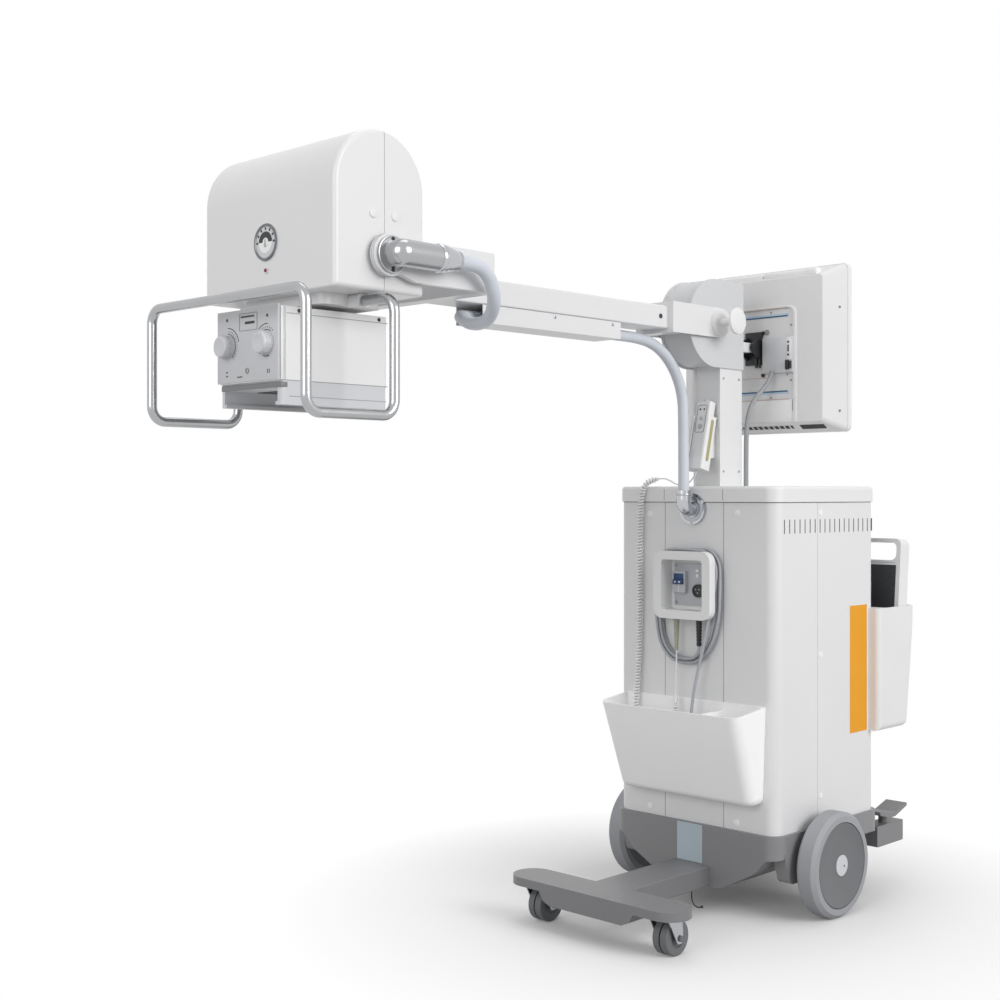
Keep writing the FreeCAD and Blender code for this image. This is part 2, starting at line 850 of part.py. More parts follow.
def beam():
    outer = round_block((-beam_half_width, beam_half_width), (beam_front, fork_front),
                        (beam_bottom, beam_top), beam_corner, "Y")
    inner = round_block((beam_wall - beam_half_width, beam_half_width - beam_wall),
                        (beam_front + beam_plug, fork_front),
                        (beam_bottom + beam_wall, beam_top - beam_wall), beam_corner / 2, "Y")
    bore = rod("Y", beam_front, beam_front + beam_plug, (0, beam_z),
               spindle_radius + running_gap)
    return outer.cut([inner, bore])


def hose_tray():
    outer = block((-beam_half_width, beam_half_width), (tray_front, tray_rear),
                  (tray_floor, beam_bottom))
    inner = block((tray_wall - beam_half_width, beam_half_width - tray_wall),
                  (tray_front, tray_rear), (tray_floor + tray_wall, beam_bottom))
    return outer.cut(inner)


def lock_knob():
    line = (pivot_y, pivot_z)
    stem_start = fork_outer + knob_back_thickness
    stem_end = stem_start + knob_stem_length
    back = rod("X", fork_outer, stem_start, line, knob_back_radius)
    stem = rod("X", stem_start, stem_end, line, knob_stem_radius)
    front = rod("X", stem_end, stem_end + knob_front_thickness, line, knob_front_radius)
    front = front.makeFillet(knob_edge, round_edges(front, knob_front_radius))
    return back.fuse([stem, front])


def yoke():
    cross = round_block((-yoke_half_width, yoke_half_width), (yoke_front, yoke_rear),
                        (yoke_bottom, yoke_top), yoke_corner, "Z")
    cheek_rear = yoke_front + yoke_cheek_overlap
    cheek = prism([(cheek_rear, yoke_bottom, 0),
                   (trunnion_y + yoke_slope_length, yoke_bottom, yoke_slope_corner),
                   (trunnion_y, yoke_bottom + yoke_slope_rise, 0), (trunnion_y, yoke_top, 0),
                   (cheek_rear, yoke_top, 0)],
                  "X", yoke_inner, yoke_half_width)
    boss = rod("X", yoke_inner, yoke_half_width, (trunnion_y, trunnion_z), trunnion_boss_radius)
    pin = rod("X", housing_half_width - housing_wall + trunnion_end_gap, yoke_inner,
              (trunnion_y, trunnion_z), trunnion_radius)
    side = cheek.fuse([boss, pin])
    spindle = rod("Y", yoke_rear, beam_front + beam_plug - spindle_end_gap, (0, beam_z),
                  spindle_radius)
    return cross.fuse([side, mirrored(side), spindle])


def hose_elbow():
    """A flange on the yoke, a pipe that turns rearwards round a ball, and the hose's ferrule."""
    line = (trunnion_y, trunnion_z)
    face = yoke_half_width + elbow_flange
    flange = rod("X", yoke_half_width, face, line, elbow_flange_radius)
    inlet = rod("X", face, elbow_x, line, elbow_radius)
    ball = Part.makeSphere(elbow_radius, Vector(elbow_x, trunnion_y, trunnion_z))
    pipe = rod("Y", trunnion_y, ferrule_front, (elbow_x, trunnion_z), elbow_radius)
    ferrule = rod("Y", ferrule_front, ferrule_rear, (elbow_x, trunnion_z), ferrule_radius)
    return flange.fuse([inlet, ball, pipe, ferrule])


def housing_shell():
    radius = (housing_rear - housing_front) / 2
    half = housing_half_width

    def arch(inset):
        return [(housing_front + inset, housing_bottom + inset, housing_foot_edge),
                (housing_rear - inset, housing_bottom + inset, housing_foot_edge),
                (housing_rear - inset, housing_top - inset, radius - inset - 0.01),
                (housing_front + inset, housing_top - inset, radius - inset - 0.01)]

    outer = prism(arch(0), "X", -half, half)
    ends = [edge for edge in outer.Edges
            if all(abs(abs(vertex.X) - half) < 1e-6 for vertex in edge.Vertexes)
            and edge.CenterOfMass.x ** 2 > (half - 1) ** 2]
    outer = outer.makeFillet(housing_edge, ends)
    inner = prism(arch(housing_wall), "X", housing_wall - half, half - housing_wall)
    bore = rod("X", -half, half, (trunnion_y, trunnion_z), trunnion_radius + running_gap)
    return outer.cut([inner, bore])


def housing_front_half(shell):
    zone = block((-housing_half_width, housing_half_width),
                 (housing_front, trunnion_y - housing_seam / 2), (housing_bottom, housing_top))
    dial = rod("Y", housing_front - dial_height, housing_front, (0, dial_z), dial_radius)
    lamp = rod("Y", housing_front - dial_height, housing_front, (0, lamp_z), lamp_radius)
    return shell.common(zone).fuse([dial, lamp])


def housing_rear_half(shell):
    zone = block((-housing_half_width, housing_half_width),
                 (trunnion_y + housing_seam / 2, housing_rear), (housing_bottom, housing_top))
    return shell.common(zone)


def port_plate():
    plate = round_block((-port_half_width + handle_boss_length, port_half_width - handle_boss_length),
                        (handle_rear_y - port_half_depth, handle_rear_y + port_half_depth),
                        (collimator_seat, housing_bottom), port_corner)
    boss = rod("X", port_half_width - handle_boss_length, port_half_width,
               (handle_rear_y, handle_high_z), handle_boss_radius)
    boss = boss.common(block((0, port_half_width),
                             (handle_rear_y - port_half_depth, handle_rear_y + port_half_depth),
                             (collimator_top + collimator_gap, housing_bottom)))
    bore = rod("Z", collimator_seat, housing_bottom, (0, collimator_y),
               spigot_radius + running_gap)
    return plate.fuse([boss, mirrored(boss)]).cut(bore)


def handle():
    right = [(port_half_width, handle_rear_y, handle_high_z),
             (handle_x, handle_rear_y, handle_high_z), (handle_x, handle_rear_y, handle_low_z),
             (handle_x, handle_front_y, handle_low_z), (handle_x, handle_front_y, handle_high_z)]
    left = [(-x, y, z) for x, y, z in reversed(right)]
    route = right + left
    return bent_tube(route, handle_radius, [handle_bend] * (len(route) - 2))


def collimator_body():
    half = collimator_half_width
    body = round_block((-half, half), (collimator_front, collimator_rear),
                       (collimator_step, collimator_top), collimator_corner)
    neck = rod("Z", collimator_top, collimator_seat - swivel_gap, (0, collimator_y),
               collimator_neck_radius)
    spigot = rod("Z", collimator_top, housing_bottom - spigot_top_gap, (0, collimator_y),
                 spigot_radius)
    return body.fuse([neck, spigot])


def collimator_rails():
    half = collimator_half_width
    depth = (collimator_front + rail_front_inset, collimator_rear - rail_rear_inset)
    plate = round_block((-half, half), depth, (collimator_bottom, collimator_step), rail_corner)
    slot = block((rail_width - half, half - rail_width),
                 (collimator_front, collimator_rear),
                 (collimator_bottom, collimator_step - rail_plate))
    lips = [block(sorted((side * (half - rail_width), side * (half - rail_width - rail_lip))),
                  depth, (collimator_bottom, collimator_bottom + rail_lip_height))
            for side in (-1, 1)]
    return plate.cut(slot).fuse(lips)


def collimator_knobs():
    knobs = []
    for side in (-1, 1):
        knob = rod("Y", collimator_front - dial_knob_length, collimator_front,
                   (side * dial_knob_x, dial_knob_z), dial_knob_radius)
        rims = [edge for edge in round_edges(knob, dial_knob_radius)
                if edge.CenterOfMass.y < collimator_front - dial_knob_edge]
        knobs.append(knob.makeFillet(dial_knob_edge, rims))
    return Part.makeCompound(knobs)


def monitor_bezel():
    half = monitor_half_width
    outer = round_block((-half, half), (monitor_rim_front, monitor_rim_rear),
                        (monitor_bottom, monitor_top), monitor_corner, "Y")
    inner = block((monitor_border - half, half - monitor_border),
                  (monitor_rim_front, monitor_rim_rear),
                  (monitor_bottom + monitor_border, monitor_top - monitor_border))
    return outer.cut(inner)


def screen():
    half = monitor_half_width - monitor_border
    return block((-half, half), (monitor_rim_front, monitor_rim_front + screen_thickness),
                 (monitor_bottom + monitor_border, monitor_top - monitor_border))


def monitor_back():
    near = outline(rectangle(monitor_half_width - monitor_back_step,
                             monitor_bottom + monitor_back_step,
                             monitor_top - monitor_back_step, monitor_back_corner), "Y",
                   monitor_rim_front)
    far = outline(rectangle(monitor_back_half_width, monitor_bottom + monitor_back_inset,
                            monitor_top - monitor_back_inset, monitor_back_corner), "Y",
                  monitor_back_y)
    shell = Part.makeLoft([near, far], True, True)
    floor = monitor_back_y + monitor_recess_depth
    recess = block((-monitor_recess_half_width, monitor_recess_half_width),
                   (monitor_back_y, floor), (monitor_recess_bottom, monitor_recess_top))
    video_box = block((video_box_left, video_box_right), (floor - video_box_depth, floor),
                      (video_box_bottom, video_box_top))
    return shell.cut(recess).fuse(video_box)


def rectangle(half_width, bottom, top, radius):
    """Rounded corners of a rectangle centred on x = 0."""
    return [(-half_width, bottom, radius), (half_width, bottom, radius),
            (half_width, top, radius), (-half_width, top, radius)]


def monitor_bracket():
    plate = block((-tilt_plate_half_width, tilt_plate_half_width),
                  (column_rear, column_rear + tilt_plate),
                  (tilt_z - tilt_plate_half_height, tilt_z + tilt_plate_half_height))
    neck = block((-tilt_eye_half_width, tilt_eye_half_width), (column_rear + tilt_plate, tilt_y),
                 (tilt_z - tilt_eye_radius, tilt_z + tilt_eye_radius))
    eye = rod("X", -tilt_eye_half_width, tilt_eye_half_width, (tilt_y, tilt_z), tilt_eye_radius)
    bore = rod("X", -tilt_eye_half_width, tilt_eye_half_width, (tilt_y, tilt_z),
               tilt_pin_radius + running_gap)
    return plate.fuse([neck, eye]).cut(bore)


def monitor_hinge():
    inner = tilt_eye_half_width + tilt_ear_gap
    outer = inner + tilt_ear
    face = monitor_back_y + monitor_recess_depth
    near = face - hinge_plate
    plate = block((-outer - hinge_plate_spare, outer), (near, face),
                  (tilt_z - hinge_plate_half_height, tilt_z + hinge_plate_half_height))
    ears = []
    for side in (-1, 1):
        low, high = sorted((side * inner, side * outer))
        ears.append(prism([
            (near, tilt_z - hinge_ear_half_height, 0),
            (tilt_y - hinge_ear_tip, tilt_z - hinge_ear_tip, hinge_ear_corner),
            (tilt_y - hinge_ear_tip, tilt_z + hinge_ear_tip, hinge_ear_corner),
            (near, tilt_z + hinge_ear_half_height, 0)], "X", low, high))
    pin = rod("X", -outer, outer, (tilt_y, tilt_z), tilt_pin_radius)
    knob = rod("X", -outer - hinge_knob_length, -outer, (tilt_y, tilt_z), hinge_knob_radius)
    return plate.fuse(ears + [pin, knob])


def front_bin():
    """An open bin whose front leans out and whose corners are rounded by fillets."""
    rise = bin_top_rear_z - bin_top_front_z
    depth = bin_top_rear_z - bin_bottom
    slope = (bin_bottom_front - bin_top_front) / (bin_top_front_z - bin_bottom)
    tall = bin_top_rear_z + bin_spare
    tall_front = bin_top_front - slope * (tall - bin_top_front_z)
    wide = bin_half_width + bin_taper * bin_spare / depth

    def hull(inset):
        """The bin's outside, or its hollow, taller than the bin and cut from two views."""
        low = bin_bottom + inset
        side = [(-inset, tall, 0), (-inset, low, 0), (bin_bottom_front + inset, low, 0),
                (tall_front + inset, tall, 0)]
        face = symmetric([(wide - inset, tall, 0), (bin_half_width - bin_taper - inset, low, 0)])
        body = prism(side, "X", -wide, wide).common(prism(face, "Y", tall_front, 0))
        front = [edge for edge in body.Edges if edge.BoundBox.YMin < bin_bottom_front + inset + 1
                 and edge.BoundBox.ZLength > depth]
        body = body.makeFillet(bin_front_corner - inset, front)
        foot = [edge for edge in body.Edges if edge.BoundBox.ZMax < low + 1
                and edge.BoundBox.YMin < -inset - 1]
        return body.makeFillet(bin_low_corner - inset, foot)

    hollow = hull(bin_wall)
    partition = block((bin_partition_x - bin_partition / 2, bin_partition_x + bin_partition / 2),
                      (bin_top_front, -bin_wall),
                      (bin_bottom, bin_top_front_z - bin_partition_drop)).common(hollow)
    above = prism([(0, bin_top_rear_z, 0), (bin_top_front, bin_top_front_z, 0),
                   (tall_front, bin_top_front_z - rise, 0), (tall_front, tall, 0), (0, tall, 0)],
                  "X", -wide, wide)
    return hull(0).cut(hollow).fuse(partition).cut(above)


def rear_bin():
    """A bin whose side ears wrap round the cabinet's rear corners."""
    half = holder_half_width
    lean = (holder_top_rear - holder_bottom_rear) / (holder_top - holder_bottom)
    over = holder_top + bin_wall
    over_rear = holder_top_rear + lean * bin_wall

    def hull(inset, front, front_corner, low_corner):
        """The bin's outside, or its hollow, from its side, top and front views."""
        low = holder_bottom + inset
        side = [(front, low, 0), (holder_bottom_rear - inset, low, low_corner),
                (over_rear - inset, over, 0), (front, over, 0)]
        top = symmetric([(half - inset, front, front_corner),
                         (half - inset, over_rear - inset, holder_rear_corner)])
        face = symmetric([(half - inset, over, 0),
                          (half - inset, low, holder_bottom_corner - inset)])
        body = prism(side, "X", -half, half)
        body = body.common(prism(top, "Z", holder_bottom, over))
        return body.common(prism(face, "Y", 0, over_rear))

    cabinet = block((-cabinet_half_width, cabinet_half_width), (0, cabinet_depth),
                    (holder_bottom, over))
    above = block((-half, half), (0, over_rear), (holder_top, over))
    hollow = hull(bin_wall, cabinet_depth + bin_wall, holder_inner_corner, holder_inner_corner)
    outside = hull(0, holder_ear_front, holder_ear_corner, holder_bottom_corner)
    return outside.cut([cabinet, hollow, above])


def detector():
    """The flat detector, drawn upright and leant back on its rear lower edge."""
    half = detector_half_width
    rear = detector_front + detector_thickness
    floor = holder_bottom + bin_wall
    body = round_block((-half, half), (detector_front, rear), (floor, detector_top),
                       detector_corner, "Y")
    grip = round_block((-detector_grip_half_width, detector_grip_half_width),
                       (detector_front, rear), (detector_grip_bottom, detector_grip_top),
                       detector_corner, "Y")
    panel = block((detector_rim - half, half - detector_rim),
                  (detector_front, detector_front + detector_recess),
                  (floor + detector_rim, detector_panel_top))
    body = body.cut([grip, panel])
    body.rotate(Vector(0, rear, floor), Vector(1, 0, 0), -detector_lean)
    return body


def socket_box():
    half = socket_half_width
    neck_half = socket_opening_half_width + socket_neck_wall
    flange = round_block((-half, half), (socket_front, socket_front + socket_flange),
                         (socket_bottom, socket_top), socket_corner, "Y")
    neck = round_block((-neck_half, neck_half), (socket_front + socket_flange, 0),
                       (socket_bottom, socket_opening_top + socket_neck_wall),
                       socket_neck_corner, "Y")
    opening = round_block((-socket_opening_half_width, socket_opening_half_width),
                          (socket_front, -socket_back),
                          (socket_opening_bottom, socket_opening_top),
                          socket_opening_corner, "Y")
    return flange.fuse(neck).cut(opening)


def breaker_panel():
    """The plate inside the socket box, with its switch, an inlet and two lamps."""
    face = -socket_back - breaker_plate
    half = socket_opening_half_width - breaker_plate_inset
    plate = block((-half, half), (face, -socket_back),
                  (socket_opening_bottom + breaker_plate_inset,
                   socket_opening_top - breaker_plate_inset))
    front = face - breaker_depth
    breaker = block((breaker_left, breaker_right), (front, face), (breaker_bottom, breaker_top))
    toggle = block((breaker_left + toggle_inset, breaker_right - toggle_inset),
                   (front - toggle_depth, front), (toggle_bottom, toggle_top))
    inlet = rod("Y", face - inlet_depth, face, (inlet_x, inlet_z), inlet_radius)
    lamps = [rod("Y", face - panel_lamp_size, face, (panel_lamp_x, z), panel_lamp_size)
             for z in (panel_lamp_low_z, panel_lamp_high_z)]
    return plate.fuse([breaker, toggle, inlet] + lamps)


def hose_gland():
    disc = rod("Y", -gland_thickness, 0, (0, gland_z), gland_radius)
    elbow = bent_tube([(0, -gland_thickness + 1, gland_z), (0, gland_elbow_y, gland_z),
                       (0, gland_elbow_y, gland_top)], gland_elbow_radius, [gland_elbow_bend])
    return disc.fuse(elbow)


def tilted(shape):
    """A shape drawn upright on the cradle's foot, leant back against the column."""
    shape.translate(Vector(cradle_x, cradle_foot, cradle_z))
    shape.rotate(Vector(cradle_x, cradle_foot, cradle_z), Vector(1, 0, 0), -cradle_tilt)
    return shape


def switch_cradle():
    half = switch_half_width + switch_gap + cradle_wall
    deep = switch_thickness + 2 * switch_gap + 2 * cradle_wall
    body = round_block((-half, half), (-deep, 0), (0, cradle_height), cradle_corner)
    slot = block((cradle_wall - half, half - cradle_wall), (cradle_wall - deep, -cradle_wall),
                 (cradle_wall, cradle_height))
    opening = half - cradle_wall - cradle_window_inset
    window = block((-opening, opening), (-deep, -cradle_wall - cradle_window_depth),
                   (cradle_lip, cradle_height))
    hole = rod("Z", 0, cradle_wall, (0, -deep / 2), cradle_hole_radius)
    cradle = tilted(body.cut([slot, window, hole]))
    low, high = cradle_z + wedge_bottom, cradle_z + wedge_top
    rear = column_front + column_recess
    wedge = prism([(cradle_foot + wedge_low_front, low, 0), (rear, low, 0), (rear, high, 0),
                   (column_front - wedge_high_front, high, 0)],
                  "X", cradle_x - wedge_half_width, cradle_x + wedge_half_width)
    lean = cradle_height * math.tan(math.radians(cradle_tilt))
    behind = prism([(cradle_foot, cradle_z, 0), (cradle_foot + cradle_height, cradle_z, 0),
                    (cradle_foot + cradle_height, cradle_z + cradle_height, 0),
                    (cradle_foot + lean, cradle_z + cradle_height, 0)],
                   "X", cradle_x - half, cradle_x + half)
    return cradle.fuse(wedge.common(behind))


def hand_switch():
    half = switch_half_width
    near = -cradle_wall - switch_gap
    body = round_block((-half, half), (near - switch_thickness, near),
                       (cradle_wall, cradle_wall + switch_length), switch_corner)
    return tilted(body)


def brake_bracket():
    half = cabinet_half_width
    return round_block((brake_inner, half), (cabinet_depth + pan_overhang, brake_rear),
                       (brake_bottom, brake_top), brake_corner, "X")


def brake_pedal():
    x = (brake_inner + cabinet_half_width) / 2
    base = brake_top + pedal_post_height
    post = rod("Z", brake_top, base, (x, pedal_post_y), pedal_post_radius)
    front = pedal_post_y - pedal_reach
    rear = pedal_post_y + pedal_reach + pedal_post_radius
    low = base - pedal_sink
    high = base + pedal_thickness
    tip = base + pedal_rise
    front_tip = tip - pedal_front_drop
    wings = prism([(front, front_tip, pedal_tip_corner),
                   (pedal_post_y - pedal_middle, low, pedal_bend),
                   (pedal_post_y + pedal_middle, low, pedal_bend), (rear, tip, pedal_tip_corner),
                   (rear, tip + pedal_thickness, pedal_tip_corner),
                   (pedal_post_y + pedal_middle, high, pedal_bend),
                   (pedal_post_y - pedal_middle, high, pedal_bend),
                   (front, front_tip + pedal_thickness, pedal_tip_corner)],
                  "X", x - pedal_half_width, x + pedal_half_width)
    return post.fuse(wings)


def push_handle():
    half = push_bar_half_width
    start = cabinet_depth + lid_overhang
    bar = bent_tube([(half, start, push_bar_z), (half, push_bar_y, push_bar_z),
                     (-half, push_bar_y, push_bar_z), (-half, start, push_bar_z)],
                    push_bar_radius, [push_bar_bend] * 2)
    return bar


def earth_wire():
    """A thin wire that hangs from the stem, curls sideways and ends in a small ball."""
    wire = cord("earth_wire", earth_wire_route, earth_wire_radius)
    return wire.fuse(Part.makeSphere(earth_ball_radius, Vector(*earth_wire_route[-1])))


def mains_coil():
    ring = prism(coil_outside, "Y", coil_front, coil_rear)
    return ring.cut(prism(coil_inside, "Y", coil_front, coil_rear))


def mains_relief():
    body = rod("Z", relief_bottom, socket_bottom, (relief_x, relief_y), relief_radius)
    nose = rod("Z", relief_bottom - relief_nose, relief_bottom, (relief_x, relief_y), mains_radius)
    return body.fuse(nose)


def mains_plug():
    return rod("Z", plug_top - plug_length, plug_top, (plug_x, plug_y), plug_radius)


def switch_plug():
    return rod("Z", switch_plug_bottom, socket_bottom, (switch_plug_x, switch_plug_y),
               relief_radius)


def curl_boot():
    low = curl_route[0][2]
    return rod("Z", low, low + boot_length, (switch_plug_x, boot_y), curl_radius)


def main():
    shell = cabinet_shell()
    tube_shell = housing_shell()
    shapes = {
        "chassis_pan": chassis_pan(),
        "outrigger": outrigger(),
        "rear_axle": rear_axle(),
        "cabinet_front": cabinet_front(shell),
        "cabinet_rear": cabinet_rear(shell),
        "lid": lid(),
        "power_unit": power_unit(),
        "column": column(),
        "pivot_drum": pivot_drum(),
        "front_bin": front_bin(),
        "rear_bin": rear_bin(),
        "detector": detector(),
        "socket_box": socket_box(),
        "breaker_panel": breaker_panel(),
        "hose_gland": hose_gland(),
        "switch_cradle": switch_cradle(),
        "hand_switch": hand_switch(),
        "monitor_bracket": monitor_bracket(),
        "brake_bracket": brake_bracket(),
        "brake_pedal": brake_pedal(),
        "push_handle": push_handle(),
        "earth_wire": earth_wire(),
        "mains_relief": mains_relief(),
        "mains_coil": mains_coil(),
        "mains_tail": cord("mains_tail", mains_tail_route, mains_radius),
        "mains_plug": mains_plug(),
        "switch_plug": switch_plug(),
        "plug_lead": cord("plug_lead", plug_lead_route, lead_radius),
        "curl_boot": curl_boot(),
        "curly_cord": cord("curly_cord", curl_route, curl_radius),
        "switch_lead": cord("switch_lead", switch_lead_route, lead_radius),
        "beam": beam(),
        "arm_fork": arm_fork(),
        "hose_tray": hose_tray(),
        "lock_knob": lock_knob(),
        "hose_in_tray": rod("Y", tray_front, tray_rear, (0, hose_z), hose_radius),
        "hose_drop": cord("hose_drop", hose_drop_route, hose_radius),
        "yoke": yoke(),
        "hose_elbow": hose_elbow(),
        "hose_loop": cord("hose_loop", hose_loop_route, hose_radius),
        "housing_front": housing_front_half(tube_shell),
        "housing_rear": housing_rear_half(tube_shell),
        "port_plate": port_plate(),
        "handle": handle(),
        "collimator_body": collimator_body(),
        "collimator_rails": collimator_rails(),
        "collimator_knobs": collimator_knobs(),
        "monitor_bezel": monitor_bezel(),
        "monitor_back": monitor_back(),
        "screen": screen(),
        "monitor_hinge": monitor_hinge(),
        "monitor_cable": cord("monitor_cable", video_cable_route, video_cable_radius),
    }
    for name, side in (("left", -1), ("right", 1)):
        shapes[name + "_tyre"] = tyre(side)
        shapes[name + "_hub"] = hub(side)
        shapes[name + "_caster_fork"] = caster_fork(side * caster_x)
        shapes[name + "_caster_wheels"] = caster_wheels(side * caster_x)

    os.makedirs("parts", exist_ok=True)
    for name, shape in shapes.items():
        placed = shape.copy()
        placed.translate(Vector(0, -origin_y, 0))
        if not placed.isValid():
            print("not valid:", name)
        placed.exportStep(os.path.join("parts", name + ".step"))
    print("pieces", len(shapes), "origin moved by", -origin_y)


main()
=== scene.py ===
import bpy
import bmesh
import json
import math
from mathutils import Matrix, Vector


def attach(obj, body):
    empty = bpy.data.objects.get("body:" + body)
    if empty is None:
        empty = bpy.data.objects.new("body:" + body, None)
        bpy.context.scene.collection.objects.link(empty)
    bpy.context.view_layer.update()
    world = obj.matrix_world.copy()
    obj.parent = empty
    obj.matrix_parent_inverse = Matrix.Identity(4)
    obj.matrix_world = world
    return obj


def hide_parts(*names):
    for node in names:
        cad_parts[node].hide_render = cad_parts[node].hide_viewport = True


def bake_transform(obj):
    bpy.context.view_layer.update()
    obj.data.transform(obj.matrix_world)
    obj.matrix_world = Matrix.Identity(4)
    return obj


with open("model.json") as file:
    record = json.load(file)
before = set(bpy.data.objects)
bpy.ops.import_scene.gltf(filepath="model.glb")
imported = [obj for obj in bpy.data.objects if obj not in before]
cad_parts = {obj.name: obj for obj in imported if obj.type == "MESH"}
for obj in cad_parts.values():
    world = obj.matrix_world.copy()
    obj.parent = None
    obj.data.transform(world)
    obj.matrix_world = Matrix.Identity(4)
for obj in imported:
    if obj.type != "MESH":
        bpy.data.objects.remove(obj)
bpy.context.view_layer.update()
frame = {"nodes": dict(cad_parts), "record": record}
nodes = frame["nodes"]

# All sizes below are millimetres, with y = 0 on the cabinet's front face as in the part's source.
frontShift = 392.125  # how far the row frame's origin lies behind that face


def at(x, y, z):
    return Vector((x / 1000, (y + frontShift) / 1000, z / 1000))


def placed(name, data):
    # a new object in the scene
    made = bpy.data.objects.new(name, data)
    bpy.context.scene.collection.objects.link(made)
    return made


# Materials.


class Wire:  # a node's output that takes part in sums
    def __init__(self, owner, socket):
        self.owner = owner
        self.socket = socket

    def maths(self, operation, first, second):
        return self.owner.node("Math", {"operation": operation}, {0: first, 1: second})

    def __add__(self, other):
        return self.maths("ADD", self, other)

    def __radd__(self, other):
        return self.maths("ADD", other, self)

    def __sub__(self, other):
        return self.maths("SUBTRACT", self, other)

    def __rsub__(self, other):
        return self.maths("SUBTRACT", other, self)

    def __mul__(self, other):
        return self.maths("MULTIPLY", self, other)

    def __rmul__(self, other):
        return self.maths("MULTIPLY", other, self)


class Nodes:  # a node tree and the ways to add to it
    def __init__(self, owner):
        owner.use_nodes = True
        self.tree = owner.node_tree
        self.tree.nodes.clear()

    def node(self, kind, settings, sockets, output=0):
        made = self.tree.nodes.new("ShaderNode" + kind)
        for name, value in settings.items():
            setattr(made, name, value)
        for name, value in sockets.items():
            if isinstance(value, Wire):
                self.tree.links.new(value.socket, made.inputs[name])
            else:
                made.inputs[name].default_value = value
        return Wire(self, made.outputs[output])

    def anyRay(self, *kinds):
        # 1 for a ray of any of these kinds, otherwise 0
        share, *rest = [self.node("LightPath", {}, {}, kind) for kind in kinds]
        for ray in rest:
            share = share.maths("MAXIMUM", share, ray)
        return share

    def intoOutput(self, shader, kind="OutputMaterial"):
        out = self.tree.nodes.new("ShaderNode" + kind)
        self.tree.links.new(shader.socket, out.inputs["Surface"])


slotOf = {}  # the slot that belongs to each material


class Finish(Nodes):  # one material
    def __init__(self, name, slotName=None):
        self.material = bpy.data.materials.new(name)
        super().__init__(self.material)
        slotOf[self.material.name] = slotName
        self.place = self.node("TexCoord", {}, {}, "Object")

    def axis(self, which):
        return self.node("SeparateXYZ", {}, {0: self.place}, which)

    def noise(self, scale, detail=3.0, place=None):
        return self.node("TexNoise", {}, {"Vector": place or self.place, "Scale": scale,
            "Detail": detail, "Roughness": 0.55})

    def stretched(self, scale):
        return self.node("Mapping", {}, {"Vector": self.place, "Scale": scale})

    def ramp(self, value, low, high):
        return self.node("MapRange", {"clamp": True}, {"Value": value, "From Min": low,
            "From Max": high, "To Min": 0.0, "To Max": 1.0})

    def blend(self, share, first, second):
        return self.node("Mix", {"data_type": "RGBA"}, {0: share, 6: first, 7: second}, 2)

    def bump(self, height, strength, distance):
        return self.node("Bump", {}, {"Height": height, "Strength": strength, "Distance": distance})

    def close(self, **sockets):
        names = {"colour": "Base Color", "rough": "Roughness", "metal": "Metallic",
                 "normal": "Normal", "coat": "Coat Weight", "coatRough": "Coat Roughness"}
        given = {names[name]: value for name, value in sockets.items()}
        self.intoOutput(self.node("BsdfPrincipled", {}, given))
        return self.material


def shade(red, green, blue):  # a colour from its screen values, 0 to 255
    def linear(value):
        part = value / 255
        return part / 12.92 if part <= 0.04045 else ((part + 0.055) / 1.055) ** 2.4
    return (linear(red), linear(green), linear(blue), 1.0)


def dimmed(colour, factor):
    return tuple(part * factor for part in colour[:3]) + (1.0,)


def paintFinish(name, slotName, colour, rough=0.38, peel=0.05, lowDarkening=0.03):
    # sprayed paint: slight orange peel, uneven sheen, darker towards the bottom
    made = Finish(name, slotName)
    cloud = made.noise(3.2, 4.0)
    speck = made.noise(260.0, 2.0)
    low = 1.0 - made.ramp(made.axis("Z"), 0.05, 0.55)
    mottleAndLowDarkening = made.ramp(cloud, 0.35, 0.75) * 0.35 + low * lowDarkening * 8.0 * made.ramp(cloud, 0.4, 0.6)
    tone = made.blend(mottleAndLowDarkening, colour, dimmed(colour, 0.93))
    tone = made.blend(made.ramp(speck, 0.62, 0.80) * 0.30, tone, dimmed(colour, 0.90))
    peelHeight = made.noise(620.0, 1.5)
    return made.close(colour=tone, rough=made.ramp(cloud, 0.2, 0.8) * 0.10 + (rough - 0.05),
        normal=made.bump(peelHeight, peel, 0.001), coat=0.12, coatRough=0.2)


def plasticFinish(name, slotName, colour, rough=0.45, grain=900.0, depth=0.10):
    # moulded plastic with a fine spark-eroded grain
    made = Finish(name, slotName)
    cells = made.node("TexVoronoi", {}, {"Vector": made.place, "Scale": grain})
    cloud = made.noise(7.0, 3.0)
    tone = made.blend(made.ramp(cloud, 0.3, 0.7) * 0.5, colour, dimmed(colour, 0.94))
    return made.close(colour=tone, rough=made.ramp(cloud, 0.2, 0.8) * 0.12 + (rough - 0.06),
        normal=made.bump(cells, depth, 0.0004))


def metalFinish(name, slotName, colour, rough=0.16, lines=(30.0, 30.0, 900.0), depth=0.02):
    # polished or brushed metal with faint lines and cloudy wear in its sheen
    made = Finish(name, slotName)
    cloud = made.noise(11.0, 4.0)
    grain = made.noise(1.0, 3.0, made.stretched(lines))
    tone = made.blend(made.ramp(grain, 0.3, 0.7) * 0.25, colour, dimmed(colour, 0.86))
    return made.close(colour=tone, metal=1.0, rough=made.ramp(cloud, 0.3, 0.7) * 0.05
        + made.ramp(grain, 0.3, 0.7) * 0.03 + (rough - 0.05),
        normal=made.bump(grain, depth, 0.0004))


